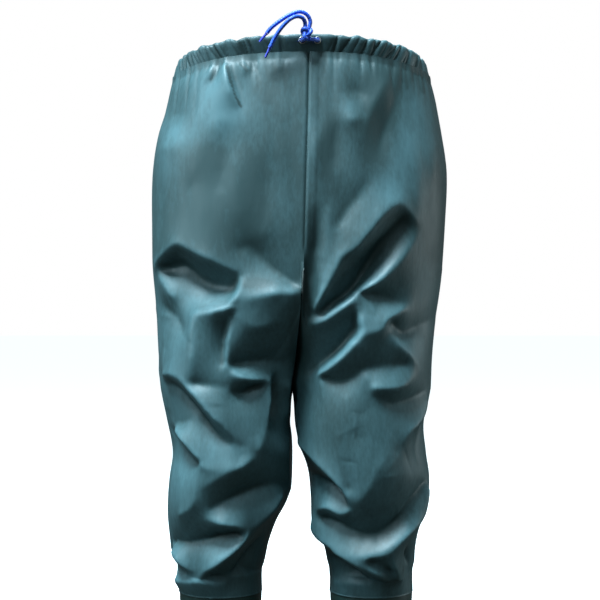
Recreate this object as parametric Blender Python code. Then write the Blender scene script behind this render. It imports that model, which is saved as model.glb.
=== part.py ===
"""Waist waders: trousers of coated cloth, hung from a drawstring casing and welded onto two moulded boots.

Metres, +Z up. The wearer faces -Y, so +X is on the right of someone who looks at the front.
The origin is on the floor, under the middle of the bounding box.
"""

import math
from bisect import bisect_right
from collections import namedtuple

import bmesh
import bpy
from mathutils import Matrix, Vector

# Clearances and walls
GAP = 0.0003
CLOTH_WALL = 0.0010
BOOT_WALL = 0.0022

# Trousers
RING_STEPS = 28
CROTCH_STEPS = 8
SEAT_STEPS = RING_STEPS - CROTCH_STEPS
LEG_AXIS_Y = 0.037
BODY_SQUARENESS = 0.86
CROTCH_DROP = 0.085
CROTCH_ROUNDNESS = 0.8
FORK_BLEND_ROWS = 4
WAIST_HEIGHT = 1.161
WAIST_FRONT_RISE = 0.025
WAIST_BACK_RISE = 0.006
WAIST_RISE_FADE = 0.30

# Widths and depths of the body at the heights of its cross-sections
BodyRow = namedtuple("BodyRow", "height left right front back seam")
BODY = (
    BodyRow(0.860, -0.241, 0.235, -0.112, 0.190, 0.006),
    BodyRow(0.930, -0.241, 0.239, -0.117, 0.195, 0.008),
    BodyRow(1.010, -0.241, 0.241, -0.116, 0.190, 0.010),
    BodyRow(1.070, -0.235, 0.234, -0.111, 0.180, 0.012),
    BodyRow(1.120, -0.222, 0.226, -0.105, 0.168, 0.013),
    BodyRow(1.161, -0.213, 0.218, -0.100, 0.158, 0.014),
)

# Sides, fronts and backs of the two legs, which aren't mirror images: each hangs in its own bends
LegRow = namedtuple("LegRow", "height left_outer left_inner right_inner right_outer front back")
LEGS = (
    LegRow(0.3180, -0.2010, -0.0630, 0.0495, 0.1875, -0.0333, 0.1073),
    LegRow(0.3520, -0.2010, -0.0630, 0.0495, 0.1875, -0.0333, 0.1073),
    LegRow(0.3700, -0.2080, -0.0580, 0.0460, 0.1930, -0.0430, 0.1130),
    LegRow(0.4000, -0.2210, -0.0520, 0.0410, 0.1960, -0.0580, 0.1180),
    LegRow(0.4350, -0.2230, -0.0400, 0.0250, 0.1990, -0.0720, 0.1210),
    LegRow(0.4700, -0.2210, -0.0210, 0.0170, 0.2080, -0.0830, 0.1230),
    LegRow(0.5100, -0.2170, -0.0080, 0.0090, 0.2130, -0.0900, 0.1260),
    LegRow(0.5500, -0.2130, -0.0080, 0.0020, 0.2095, -0.0940, 0.1310),
    LegRow(0.6000, -0.2230, -0.0200, -0.0070, 0.2060, -0.0970, 0.1400),
    LegRow(0.6600, -0.2340, -0.0170, -0.0110, 0.2170, -0.1000, 0.1530),
)

# Drawstring casing: a folded tunnel of cloth round the waist
CASING_HEIGHT = 0.032
CASING_DEPTH = 0.012
CASING_CORNER = 0.0025
CASING_INSET = 0.0030

# Eyelets, one each side of the front seam
EYELET_ABOVE_MIDDLE = 0.0058
EYELET_FROM_SEAM = 0.013
EYELET_HOLE = 0.0040
EYELET_WALL = 0.0004
EYELET_FLANGE = 0.0058
EYELET_FLANGE_THICKNESS = 0.0005
EYELET_STEPS = 14
EYELET_DRILL_DEPTH = 0.003

# Drawstring
CORD_RADIUS = 0.0028
CORD_ROUND_STEPS = 2
CORD_POINT_SPACING = 0.009
CORD_BEND_RADIUS = 0.0085
CORD_BEND_DEGREES = 84
CORD_BEND_POINTS = 6
CORD_SET_BACK = 0.0012
STUB_REACH = 0.0035
STUB_SPACING = 0.0025
KNOT_PLACE = Vector((0.0115, -0.1160, 1.2140))
KnotRow = namedtuple("KnotRow", "height radius")
KNOT = (
    KnotRow(0.0000, 0.0040),
    KnotRow(0.0012, 0.0072),
    KnotRow(0.0045, 0.0088),
    KnotRow(0.0080, 0.0074),
    KnotRow(0.0112, 0.0082),
    KnotRow(0.0145, 0.0072),
    KnotRow(0.0160, 0.0050),
)
KNOT_STEPS = 12
TIP_LENGTH = 0.018
TIP_RADIUS = 0.0021
TIP_STEPS = 8
# Where each loose end runs, from the top of the knot, over its arch, to its tip
END_ROUTES = {
    "drawstring_end_long": (
        (0.0150, -0.1160, 1.2305),
        (0.0146, -0.1165, 1.2400),
        (0.0060, -0.1190, 1.2495),
        (-0.0060, -0.1205, 1.2515),
        (-0.0220, -0.1220, 1.2450),
        (-0.0380, -0.1225, 1.2350),
        (-0.0520, -0.1215, 1.2240),
        (-0.0590, -0.1200, 1.2165),
    ),
    "drawstring_end_short": (
        (0.0085, -0.1160, 1.2308),
        (0.0082, -0.1165, 1.2350),
        (0.0040, -0.1210, 1.2405),
        (-0.0050, -0.1265, 1.2425),
        (-0.0150, -0.1290, 1.2380),
        (-0.0260, -0.1280, 1.2290),
        (-0.0350, -0.1250, 1.2180),
        (-0.0430, -0.1210, 1.2050),
        (-0.0475, -0.1185, 1.1950),
    ),
}

# Boots
LEFT_BOOT_X = -0.1320
RIGHT_BOOT_X = 0.1185
TOE_OUT = 0.105
BALL_HALF_WIDTH = 0.0525
SOLE_LIP = 0.0030
SOLE_BEVEL = 0.0025
SOLE_BALL_TOP = 0.018
SOLE_LINE_FADE_HEIGHT = 0.100
TOE_ROUND_SHARE = 0.17
HEEL_ROUND_SHARE = 0.13

# Outlines of the moulded upper, stacked from the sole to the top of the shaft. Heel and toe are measured
# backwards from the shaft's axis, and foot_share is how much of the sole's own outline the section keeps.
BootRow = namedtuple("BootRow", "height heel toe half_width foot_share")
BOOT = (
    BootRow(0.018, 0.0665, -0.2230, 0.0495, 1.00),
    BootRow(0.029, 0.0700, -0.2285, 0.0522, 1.00),
    BootRow(0.042, 0.0705, -0.2270, 0.0520, 1.00),
    BootRow(0.053, 0.0700, -0.2180, 0.0503, 1.00),
    BootRow(0.061, 0.0692, -0.2000, 0.0478, 1.00),
    BootRow(0.068, 0.0683, -0.1760, 0.0455, 0.97),
    BootRow(0.077, 0.0672, -0.1480, 0.0433, 0.86),
    BootRow(0.090, 0.0655, -0.1190, 0.0415, 0.64),
    BootRow(0.107, 0.0640, -0.0960, 0.0412, 0.40),
    BootRow(0.130, 0.0632, -0.0800, 0.0430, 0.18),
    BootRow(0.162, 0.0640, -0.0710, 0.0475, 0.05),
    BootRow(0.205, 0.0660, -0.0682, 0.0545, 0.00),
    BootRow(0.300, 0.0690, -0.0690, 0.0677, 0.00),
    BootRow(0.350, 0.0690, -0.0690, 0.0677, 0.00),
)
# The outline where the shaft is welded onto the foot
SHAFT_ROW = 11

# Half widths of the sole as shares of its ball width, and its top line, from the toe (0) to the heel (1)
SoleRow = namedtuple("SoleRow", "station inner outer top")
SOLE = (
    SoleRow(0.00, 0.82, 0.74, 0.0290),
    SoleRow(0.10, 0.90, 0.84, 0.0232),
    SoleRow(0.20, 0.97, 0.94, 0.0195),
    SoleRow(0.30, 1.00, 1.00, 0.0180),
    SoleRow(0.42, 0.88, 0.98, 0.0185),
    SoleRow(0.56, 0.66, 0.87, 0.0215),
    SoleRow(0.72, 0.61, 0.75, 0.0268),
    SoleRow(0.87, 0.68, 0.70, 0.0300),
    SoleRow(1.00, 0.68, 0.68, 0.0305),
)
TOE_SPRING = 0.010
TOE_SPRING_STATION = 0.24
INSOLE_THICKNESS = 0.003
INSOLE_CLEARANCE = 0.0008

# Tread: chevron grooves under the forefoot and heel, and the hollow of the arch between them
GROOVE_WIDTH = 0.0075
GROOVE_DEPTH = 0.0045
GROOVE_POINT = 0.020
FOREFOOT_GROOVES = (-0.190, -0.164, -0.138, -0.112)
HEEL_GROOVES = (0.005, 0.028)
ARCH_FRONT = -0.078
HEEL_BREAST = -0.020
ARCH_HEIGHT = 0.011
ARCH_POINTS = 7
CUTTER_HALF_WIDTH = 0.075
CUTTER_BELOW = 0.004


def clear_scene():
    for obj in list(bpy.data.objects):
        bpy.data.objects.remove(obj)


def make_material(name, colour, roughness, metallic=0.0):
    material = bpy.data.materials.new(name)
    material.use_nodes = True
    shader = material.node_tree.nodes["Principled BSDF"]
    shader.inputs["Base Color"].default_value = (*colour, 1.0)
    shader.inputs["Roughness"].default_value = roughness
    shader.inputs["Metallic"].default_value = metallic
    return material


def make_object(name, points, faces, material):
    mesh = bpy.data.meshes.new(name)
    mesh.from_pydata([tuple(p) for p in points], [], faces)
    mesh.shade_smooth()
    mesh.materials.append(material)
    obj = bpy.data.objects.new(name, mesh)
    bpy.context.scene.collection.objects.link(obj)
    return obj


def add_wall(obj, thickness):
    """Gives an open skin its wall, inwards from the skin."""
    wall = obj.modifiers.new("wall", "SOLIDIFY")
    wall.thickness = thickness
    wall.offset = -1.0
    wall.use_even_offset = False
    wall.use_rim = True


def cut_away(obj, cutter):
    cutter.hide_render = True
    cutter.display_type = "WIRE"
    cut = obj.modifiers.new("cut", "BOOLEAN")
    cut.operation = "DIFFERENCE"
    cut.object = cutter


def read_table(rows, column, at):
    """A column's value at a place along the table's first column, on a smooth curve through its rows."""
    places = [row[0] for row in rows]
    values = [getattr(row, column) for row in rows]
    if at <= places[0]:
        return values[0]
    if at >= places[-1]:
        return values[-1]
    i = bisect_right(places, at) - 1
    span = places[i + 1] - places[i]
    s = (at - places[i]) / span

    def slope(j):
        before = max(j - 1, 0)
        after = min(j + 1, len(rows) - 1)
        return (values[after] - values[before]) / (places[after] - places[before])

    start = values[i] * (1 + 2 * s) * (1 - s) ** 2 + span * slope(i) * s * (1 - s) ** 2
    end = values[i + 1] * s * s * (3 - 2 * s) + span * slope(i + 1) * s * s * (s - 1)
    return start + end


def signed_power(value, power):
    return math.copysign(abs(value) ** power, value)


def ring_faces(upper, lower, turn_over=False, closed=True):
    """Quads between two rings of point numbers, or between two open rows."""
    faces = []
    count = len(upper)
    for k in range(count if closed else count - 1):
        after = (k + 1) % count
        face = (upper[k], lower[k], lower[after], upper[after])
        faces.append(face[::-1] if turn_over else face)
    return faces


# Trousers


def waist_rise(y, height):
    """How far the waist is drawn up at its front and back, fading out down the body."""
    front = read_table(BODY, "front", WAIST_HEIGHT)
    back = read_table(BODY, "back", WAIST_HEIGHT)
    reach = (y - LEG_AXIS_Y) / ((front if y < LEG_AXIS_Y else back) - LEG_AXIS_Y)
    rise = WAIST_FRONT_RISE if y < LEG_AXIS_Y else WAIST_BACK_RISE
    fade = max(0.0, 1 - (WAIST_HEIGHT - height) / WAIST_RISE_FADE)
    return rise * reach * reach * fade


def body_ring(height):
    """The body's section, from the front seam round by +X to the back seam and on."""
    left, right, front, back, seam = (
        read_table(BODY, column, height) for column in BodyRow._fields[1:]
    )
    points = []
    for k in range(2 * SEAT_STEPS):
        angle = math.pi * k / SEAT_STEPS
        across = signed_power(math.sin(angle), BODY_SQUARENESS)
        along = signed_power(math.cos(angle), BODY_SQUARENESS)
        x = seam + across * ((right - seam) if across > 0 else (seam - left))
        y = LEG_AXIS_Y + along * ((front - LEG_AXIS_Y) if along > 0 else (LEG_AXIS_Y - back))
        points.append(Vector((x, y, height + waist_rise(y, height))))
    return points


def leg_ring(side, height):
    """A leg's section, from the front of the crotch round by its outer side and back along its inner side."""
    name = "right" if side > 0 else "left"
    outer = read_table(LEGS, name + "_outer", height)
    inner = read_table(LEGS, name + "_inner", height)
    front = read_table(LEGS, "front", height)
    back = read_table(LEGS, "back", height)
    middle_x = (outer + inner) / 2
    middle_y = (front + back) / 2
    first_angle = -math.pi / 2 + math.pi * CROTCH_STEPS / RING_STEPS
    points = []
    for k in range(RING_STEPS):
        angle = first_angle + 2 * math.pi * k / RING_STEPS
        x = middle_x + (outer - middle_x) * math.sin(angle)
        y = middle_y - (middle_y - front) * math.cos(angle)
        points.append(Vector((x, y, height)))
    return points


def crotch_curve(fork):
    """Points under the fork, from the back seam to the front seam, without those two."""
    front, back = fork[0], fork[SEAT_STEPS]
    middle = (front + back) / 2
    points = []
    for j in range(CROTCH_STEPS - 1, 0, -1):
        angle = math.pi * j / CROTCH_STEPS
        drop = CROTCH_DROP * math.sin(angle) ** CROTCH_ROUNDNESS
        points.append(middle + (front - middle) * math.cos(angle) - Vector((0, 0, drop)))
    return points


def build_trousers(cloth):
    """Two halves, cut along the seam that runs down the front, under the crotch and up the back."""
    rings = [body_ring(row.height) for row in reversed(BODY)]
    rings[0] = [p - Vector((0, 0, GAP)) for p in rings[0]]
    crotch = crotch_curve(rings[-1])
    for name, side in (("trousers_left", -1), ("trousers_right", 1)):
        build_trouser_half(name, side, rings, crotch, cloth)


def build_trouser_half(name, side, rings, crotch, cloth):
    off_seam = Vector((side * GAP / 2, 0, 0))
    points, faces, above = [], [], []
    for ring in rings:
        row = [ring[side * k] for k in range(SEAT_STEPS + 1)]
        row[0] = row[0] + off_seam
        row[-1] = row[-1] + off_seam
        below = list(range(len(points), len(points) + len(row)))
        points += row
        if above:
            faces += ring_faces(above, below, turn_over=side < 0, closed=False)
        above = below
    above += range(len(points), len(points) + len(crotch))
    points += [p + off_seam for p in crotch]
    fork = [points[n] for n in above]
    top = leg_ring(side, LEGS[-1].height)
    leg_rings = []
    for row in range(1, FORK_BLEND_ROWS):
        share = row / FORK_BLEND_ROWS
        leg_rings.append([a.lerp(b, share) for a, b in zip(fork, top)])
    leg_rings += [leg_ring(side, row.height) for row in reversed(LEGS)]
    for ring in leg_rings:
        below = list(range(len(points), len(points) + RING_STEPS))
        points += ring
        faces += ring_faces(above, below, turn_over=side < 0)
        above = below
    add_wall(make_object(name, points, faces, cloth), CLOTH_WALL)


# Drawstring casing and eyelets


def waist_frames():
    """Middle of the casing's tunnel, outward and along directions, at each of the waist's points."""
    ring = body_ring(WAIST_HEIGHT)
    count = len(ring)
    frames = []
    for k, point in enumerate(ring):
        along = ring[(k + 1) % count] - ring[k - 1]
        along.normalize()
        out = along.cross(Vector((0, 0, 1))).normalized()
        middle = point - out * CASING_INSET + Vector((0, 0, CASING_HEIGHT / 2))
        frames.append((middle, out, along))
    return frames


def slot_profile(half_depth, half_height, corner):
    """A slot with cut corners, as (outward, upward) offsets, counter-clockwise with outward to the right."""
    flat, tall = half_depth - corner, half_height - corner
    return (
        (half_depth, -tall),
        (half_depth, tall),
        (flat, half_height),
        (-flat, half_height),
        (-half_depth, tall),
        (-half_depth, -tall),
        (-flat, -half_height),
        (flat, -half_height),
    )


def front_flat(frames, side):
    """Outward and along directions of the casing's flat on one side of the front seam."""
    seam, beside = frames[0][0], frames[side][0]
    along = (beside - seam).normalized() * side
    out = along.cross(Vector((0, 0, 1))).normalized()
    return out, along


def turned_ring(name, profile, steps, place, axis, material):
    """A closed profile of (radius, distance along the axis) turned about an axis."""
    turn = axis.to_track_quat("Z", "Y").to_matrix()
    points = []
    for k in range(steps):
        angle = 2 * math.pi * k / steps
        for radius, height in profile:
            local = Vector((radius * math.cos(angle), radius * math.sin(angle), height))
            points.append(place + turn @ local)
    size = len(profile)
    faces = []
    for k in range(steps):
        here, after = k * size, ((k + 1) % steps) * size
        for i in range(size):
            j = (i + 1) % size
            faces.append((here + i, after + i, after + j, here + j))
    return make_object(name, points, faces, material)


def build_casing(cloth):
    frames = waist_frames()
    half_depth, half_height = CASING_DEPTH / 2, CASING_HEIGHT / 2
    skins = (
        (slot_profile(half_depth, half_height, CASING_CORNER), False),
        (slot_profile(half_depth - CLOTH_WALL, half_height - CLOTH_WALL, CASING_CORNER), True),
    )
    points, faces = [], []
    for profile, inside in skins:
        start = len(points)
        size = len(profile)
        for middle, out, _ in frames:
            points += [middle + out * o + Vector((0, 0, u)) for o, u in profile]
        rings = [list(range(start + k * size, start + (k + 1) * size)) for k in range(len(frames))]
        for k, ring in enumerate(rings):
            faces += ring_faces(ring, rings[(k + 1) % len(rings)], turn_over=inside)
    casing = make_object("waist_casing", points, faces, cloth)
    for side in (1, -1):
        place, out, _ = eyelet_frame(frames, side)
        hole = EYELET_HOLE + EYELET_WALL + GAP
        drill = make_object("eyelet_drill", [], [], cloth)
        fill_cylinder(drill, hole, EYELET_DRILL_DEPTH, EYELET_STEPS)
        drill.matrix_world = Matrix.Translation(place) @ out.to_track_quat("Z", "Y").to_matrix().to_4x4()
        cut_away(casing, drill)
    return casing


def fill_cylinder(obj, radius, depth, steps):
    shape = bmesh.new()
    bmesh.ops.create_cone(
        shape, cap_ends=True, segments=steps, radius1=radius, radius2=radius, depth=depth
    )
    shape.to_mesh(obj.data)
    shape.free()


def eyelet_frame(frames, side):
    """Middle of the cloth wall, outward and along directions, where an eyelet is set."""
    out, along = front_flat(frames, side)
    wall = CASING_DEPTH / 2 - CLOTH_WALL / 2
    middle = frames[0][0] + along * side * EYELET_FROM_SEAM
    return middle + out * wall + Vector((0, 0, EYELET_ABOVE_MIDDLE)), out, along


def build_eyelets(metal):
    frames = waist_frames()
    near = CLOTH_WALL / 2 + GAP
    far = near + EYELET_FLANGE_THICKNESS
    barrel = EYELET_HOLE + EYELET_WALL
    profile = (
        (EYELET_HOLE, -far),
        (EYELET_FLANGE, -far),
        (EYELET_FLANGE, -near),
        (barrel, -near),
        (barrel, near),
        (EYELET_FLANGE, near),
        (EYELET_FLANGE, far),
        (EYELET_HOLE, far),
    )
    for name, side in (("eyelet_right", 1), ("eyelet_left", -1)):
        place, out, _ = eyelet_frame(frames, side)
        turned_ring(name, profile, EYELET_STEPS, place, out, metal)


# Drawstring


def smooth_route(route, spacing):
    """Points about a spacing apart on a smooth curve through a route's own points."""
    route = [Vector(p) for p in route]
    ends = [2 * route[0] - route[1]] + route + [2 * route[-1] - route[-2]]
    points = [route[0]]
    for before, start, end, after in zip(ends, ends[1:], ends[2:], ends[3:]):
        steps = max(1, round((end - start).length / spacing))
        for i in range(1, steps + 1):
            s = i / steps
            bend = (2 * before - 5 * start + 4 * end - after) * s * s
            twist = (3 * start - before - 3 * end + after) * s ** 3
            points.append((2 * start + (end - before) * s + bend + twist) / 2)
    return points


def cord_tube(name, points, material):
    curve = bpy.data.curves.new(name, "CURVE")
    curve.dimensions = "3D"
    curve.bevel_depth = CORD_RADIUS
    curve.bevel_resolution = CORD_ROUND_STEPS
    curve.use_fill_caps = True
    curve.materials.append(material)
    line = curve.splines.new("POLY")
    line.points.add(len(points) - 1)
    for spot, place in zip(line.points, points):
        spot.co = (*place, 1.0)
    obj = bpy.data.objects.new(name, curve)
    bpy.context.scene.collection.objects.link(obj)
    return obj


def eyelet_bend(frames, side):
    """The cord's turn out of the tunnel, towards the front seam, and through an eyelet."""
    place, out, along = eyelet_frame(frames, side)
    tunnel_depth = CORD_SET_BACK + CASING_DEPTH / 2 - CLOTH_WALL / 2
    whole = math.radians(CORD_BEND_DEGREES)
    at_wall = math.acos(1 - tunnel_depth / CORD_BEND_RADIUS)
    points = []
    for i in range(CORD_BEND_POINTS):
        angle = whole * i / (CORD_BEND_POINTS - 1)
        forward = CORD_BEND_RADIUS * (math.sin(angle) - math.sin(at_wall))
        outward = CORD_BEND_RADIUS * (1 - math.cos(angle)) - tunnel_depth
        points.append(place - along * side * forward + out * outward)
    return points


def stub_route(bend, stub):
    """A bend through an eyelet, carried on out of it and round to a place under the knot."""
    heading = (bend[-1] - bend[-2]).normalized()
    leaving = bend[-1] + heading * STUB_REACH
    middle = (leaving + stub) / 2 + heading * STUB_REACH / 2
    return bend[:-1] + smooth_route((bend[-1], leaving, middle, stub), STUB_SPACING)


def build_drawstring(cord):
    frames = waist_frames()
    rise = Vector((0, 0, EYELET_ABOVE_MIDDLE))
    in_tunnel = [middle - out * CORD_SET_BACK + rise for middle, out, _ in frames]
    right_bend = eyelet_bend(frames, 1)
    left_bend = eyelet_bend(frames, -1)
    under_knot = KNOT_PLACE - Vector((0, 0, CORD_RADIUS + GAP))
    right_stub = under_knot + Vector((CORD_RADIUS + GAP, 0, 0))
    left_stub = under_knot - Vector((CORD_RADIUS + GAP, 0, 0))
    # The run goes from under the knot, in at the right eyelet, round the waist and out at the left one
    to_right = stub_route(right_bend, right_stub)
    to_left = stub_route(left_bend, left_stub)
    cord_tube("drawstring_run", to_right[::-1] + in_tunnel[1:] + to_left, cord)
    knot_points = []
    for row in KNOT:
        for k in range(KNOT_STEPS):
            angle = 2 * math.pi * k / KNOT_STEPS
            spoke = Vector((math.cos(angle), math.sin(angle), 0))
            knot_points.append(KNOT_PLACE + spoke * row.radius + Vector((0, 0, row.height)))
    rings = [list(range(i * KNOT_STEPS, (i + 1) * KNOT_STEPS)) for i in range(len(KNOT))]
    faces = [rings[0][::-1], rings[-1]]
    for lower, upper in zip(rings, rings[1:]):
        faces += ring_faces(upper, lower)
    make_object("drawstring_knot", knot_points, faces, cord)
    for name, route in END_ROUTES.items():
        points = smooth_route(route, CORD_POINT_SPACING)
        cord_tube(name, points, cord)
        build_tip(name.replace("_end_", "_tip_"), points, cord)


def build_tip(name, points, material):
    """The sealed, tapered tip that goes on from the last stretch of a cord."""
    heading = (points[-1] - points[-2]).normalized()
    tip = make_object(name, [], [], material)
    shape = bmesh.new()
    bmesh.ops.create_cone(
        shape,
        cap_ends=True,
        segments=TIP_STEPS,
        radius1=CORD_RADIUS,
        radius2=TIP_RADIUS,
        depth=TIP_LENGTH,
    )
    shape.to_mesh(tip.data)
    shape.free()
    middle = points[-1] + heading * (GAP + TIP_LENGTH / 2)
    tip.matrix_world = Matrix.Translation(middle) @ heading.to_track_quat("Z", "Y").to_matrix().to_4x4()


# Boots


def foot_half_width(station, outer_side):
    """Half width of the sole at a station from the toe (0) to the heel (1), with round ends."""
    width = BALL_HALF_WIDTH * read_table(SOLE, "outer" if outer_side else "inner", station)
    from_toe = max(0.0, 1 - station / TOE_ROUND_SHARE)
    from_heel = max(0.0, 1 - (1 - station) / HEEL_ROUND_SHARE)
    return width * math.sqrt(max(0.0, 1 - from_toe ** 2)) * math.sqrt(max(0.0, 1 - from_heel ** 2))


def boot_outline(side, shaft_x, row, inset=0.0):
    """Points of one outline of a boot as (station, point), from the toe round by the outer side."""
    found = []
    for k in range(RING_STEPS):
        angle = 2 * math.pi * k / RING_STEPS
        station = (1 - math.cos(angle)) / 2
        outer_side = math.sin(angle) > 0
        round_width = row.half_width * abs(math.sin(angle))
        foot_width = foot_half_width(station, outer_side) * row.half_width / BALL_HALF_WIDTH
        width = round_width + (foot_width - round_width) * row.foot_share
        y = row.toe + inset + (row.heel - row.toe - 2 * inset) * station
        swing = TOE_OUT * max(0.0, -y) * row.foot_share
        across = (max(0.0, width - inset) if outer_side else -max(0.0, width - inset)) + swing
        found.append((station, Vector((shaft_x + side * across, LEG_AXIS_Y + y, row.height))))
    return found


def on_sole_line(outline, height):
    """The outline moved to follow the top line of the sole, less and less up to the instep."""
    fade = max(0.0, 1 - (height - SOLE_BALL_TOP) / (SOLE_LINE_FADE_HEIGHT - SOLE_BALL_TOP))
    points = []
    for station, point in outline:
        lift = (read_table(SOLE, "top", station) - SOLE_BALL_TOP) * fade
        points.append(point + Vector((0, 0, lift)))
    return points


def build_boot_wall(name, side, shaft_x, rows, rubber):
    """A hollow stretch of the boot through a run of its outlines, a gap above what it stands on."""
    rings = [on_sole_line(boot_outline(side, shaft_x, row), row.height) for row in rows]
    rings[0] = [p + Vector((0, 0, GAP)) for p in rings[0]]
    points = [p for ring in rings for p in ring]
    faces = []
    for i in range(len(rings) - 1):
        lower = list(range(i * RING_STEPS, (i + 1) * RING_STEPS))
        faces += ring_faces([n + RING_STEPS for n in lower], lower, turn_over=side < 0)
    add_wall(make_object(name, points, faces, rubber), BOOT_WALL)


def strip_faces(ring):
    """Faces across a ring whose two halves are mirror stations of each other."""
    half = len(ring) // 2
    faces = [(ring[0], ring[1], ring[-1])]
    for k in range(1, half - 1):
        faces.append((ring[k], ring[k + 1], ring[-k - 1], ring[-k]))
    faces.append((ring[half - 1], ring[half], ring[half + 1]))
    return faces


def build_plate(name, rings, side, material):
    """A solid through stacked rings, from the lowest up, closed across its bottom and top."""
    points = [p for ring in rings for p in ring]
    numbers = [list(range(i * RING_STEPS, (i + 1) * RING_STEPS)) for i in range(len(rings))]
    faces = [face[::-1] for face in strip_faces(numbers[0])] + strip_faces(numbers[-1])
    for lower, upper in zip(numbers, numbers[1:]):
        faces += ring_faces(upper, lower)
    if side < 0:
        faces = [face[::-1] for face in faces]
    return make_object(name, points, faces, material)


def sole_bottom(station):
    """Height of the sole's underside: flat under heel and ball, sprung up at the toe."""
    return TOE_SPRING * max(0.0, 1 - station / TOE_SPRING_STATION) ** 2


def build_outsole(name, side, shaft_x, rubber):
    edge = boot_outline(side, shaft_x, BOOT[0]._replace(
        heel=BOOT[0].heel + SOLE_LIP, toe=BOOT[0].toe - SOLE_LIP, half_width=BOOT[0].half_width + SOLE_LIP
    ))
    tread = boot_outline(side, shaft_x, BOOT[0])
    bottom = [Vector((p.x, p.y, sole_bottom(s))) for s, p in tread]
    side_low = [Vector((p.x, p.y, sole_bottom(s) + SOLE_BEVEL)) for s, p in edge]
    side_high = [Vector((p.x, p.y, read_table(SOLE, "top", s) - SOLE_BEVEL)) for s, p in edge]
    top = [Vector((p.x, p.y, read_table(SOLE, "top", s))) for s, p in tread]
    outsole = build_plate(name, [bottom, side_low, side_high, top], side, rubber)
    cut_away(outsole, build_tread_cutter(name + "_tread_cutter", shaft_x, side, rubber))


def build_insole(name, side, shaft_x, felt):
    inset = BOOT_WALL + INSOLE_CLEARANCE
    outline = boot_outline(side, shaft_x, BOOT[0], inset)
    under = [Vector((p.x, p.y, read_table(SOLE, "top", s) + GAP)) for s, p in outline]
    upper = [p + Vector((0, 0, INSOLE_THICKNESS)) for p in under]
    build_plate(name, [under, upper], side, felt)


def prism(outline, direction, points, faces):
    """Adds a closed prism on an outline to a list of points and faces."""
    start, size = len(points), len(outline)
    points += outline + [p + direction for p in outline]
    near = [start + i for i in range(size)]
    far = [n + size for n in near]
    faces += [tuple(near[::-1]), tuple(far)]
    for i in range(size):
        j = (i + 1) % size
        faces.append((near[i], near[j], far[j], far[i]))


def build_tread_cutter(name, shaft_x, side, material):
    points, faces = [], []
    for groove_y in FOREFOOT_GROOVES + HEEL_GROOVES:
        spring = sole_bottom((groove_y - BOOT[0].toe) / (BOOT[0].heel - BOOT[0].toe))
        middle_x = shaft_x + side * TOE_OUT * max(0.0, -groove_y)
        y = LEG_AXIS_Y + groove_y
        corners = (
            (-CUTTER_HALF_WIDTH, GROOVE_POINT),
            (0.0, 0.0),
            (CUTTER_HALF_WIDTH, GROOVE_POINT),
            (CUTTER_HALF_WIDTH, GROOVE_POINT + GROOVE_WIDTH),
            (0.0, GROOVE_WIDTH),
            (-CUTTER_HALF_WIDTH, GROOVE_POINT + GROOVE_WIDTH),
        )
        outline = [Vector((middle_x + dx, y + dy, -CUTTER_BELOW)) for dx, dy in corners]
        prism(outline, Vector((0, 0, CUTTER_BELOW + spring + GROOVE_DEPTH)), points, faces)
    arch = []
    for i in range(ARCH_POINTS):
        share = i / (ARCH_POINTS - 1)
        y = LEG_AXIS_Y + ARCH_FRONT + (HEEL_BREAST - ARCH_FRONT) * share
        arch.append(Vector((shaft_x - CUTTER_HALF_WIDTH, y, ARCH_HEIGHT * math.sin(share * math.pi / 2))))
    low_back = Vector((shaft_x - CUTTER_HALF_WIDTH, arch[-1].y, -CUTTER_BELOW))
    low_front = Vector((shaft_x - CUTTER_HALF_WIDTH, arch[0].y - CUTTER_BELOW, -CUTTER_BELOW))
    prism([low_front, low_back] + arch[::-1], Vector((2 * CUTTER_HALF_WIDTH, 0, 0)), points, faces)
    return make_object(name, points, faces, material)


def main():
    clear_scene()
    cloth = make_material("coated_cloth", (0.020, 0.060, 0.062), 0.42)
    cord = make_material("blue_cord", (0.010, 0.045, 0.420), 0.65)
    metal = make_material("eyelet_metal", (0.62, 0.58, 0.50), 0.35, metallic=1.0)
    rubber = make_material("boot_rubber", (0.018, 0.045, 0.040), 0.45)
    tread = make_material("sole_rubber", (0.012, 0.016, 0.015), 0.60)
    felt = make_material("insole_felt", (0.16, 0.17, 0.17), 0.90)
    build_trousers(cloth)
    build_casing(cloth)
    build_eyelets(metal)
    build_drawstring(cord)
    for name, side, shaft_x in (("left", -1, LEFT_BOOT_X), ("right", 1, RIGHT_BOOT_X)):
        build_boot_wall("boot_foot_" + name, side, shaft_x, BOOT[: SHAFT_ROW + 1], rubber)
        build_boot_wall("boot_shaft_" + name, side, shaft_x, BOOT[SHAFT_ROW:], rubber)
        build_outsole("outsole_" + name, side, shaft_x, tread)
        build_insole("insole_" + name, side, shaft_x, felt)


main()
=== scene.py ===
# %% [markdown]
# # Waist waders
# These waders are trousers of coated cloth, gathered on a drawstring at the waist and welded onto two
# moulded boots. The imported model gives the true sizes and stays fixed. Every cell below makes one piece
# or one finish in that frame, in metres, with +Z up and the wearer facing -Y.

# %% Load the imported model
import math
from collections import namedtuple

import bpy
import numpy as np
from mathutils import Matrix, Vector
from mathutils.kdtree import KDTree


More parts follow.
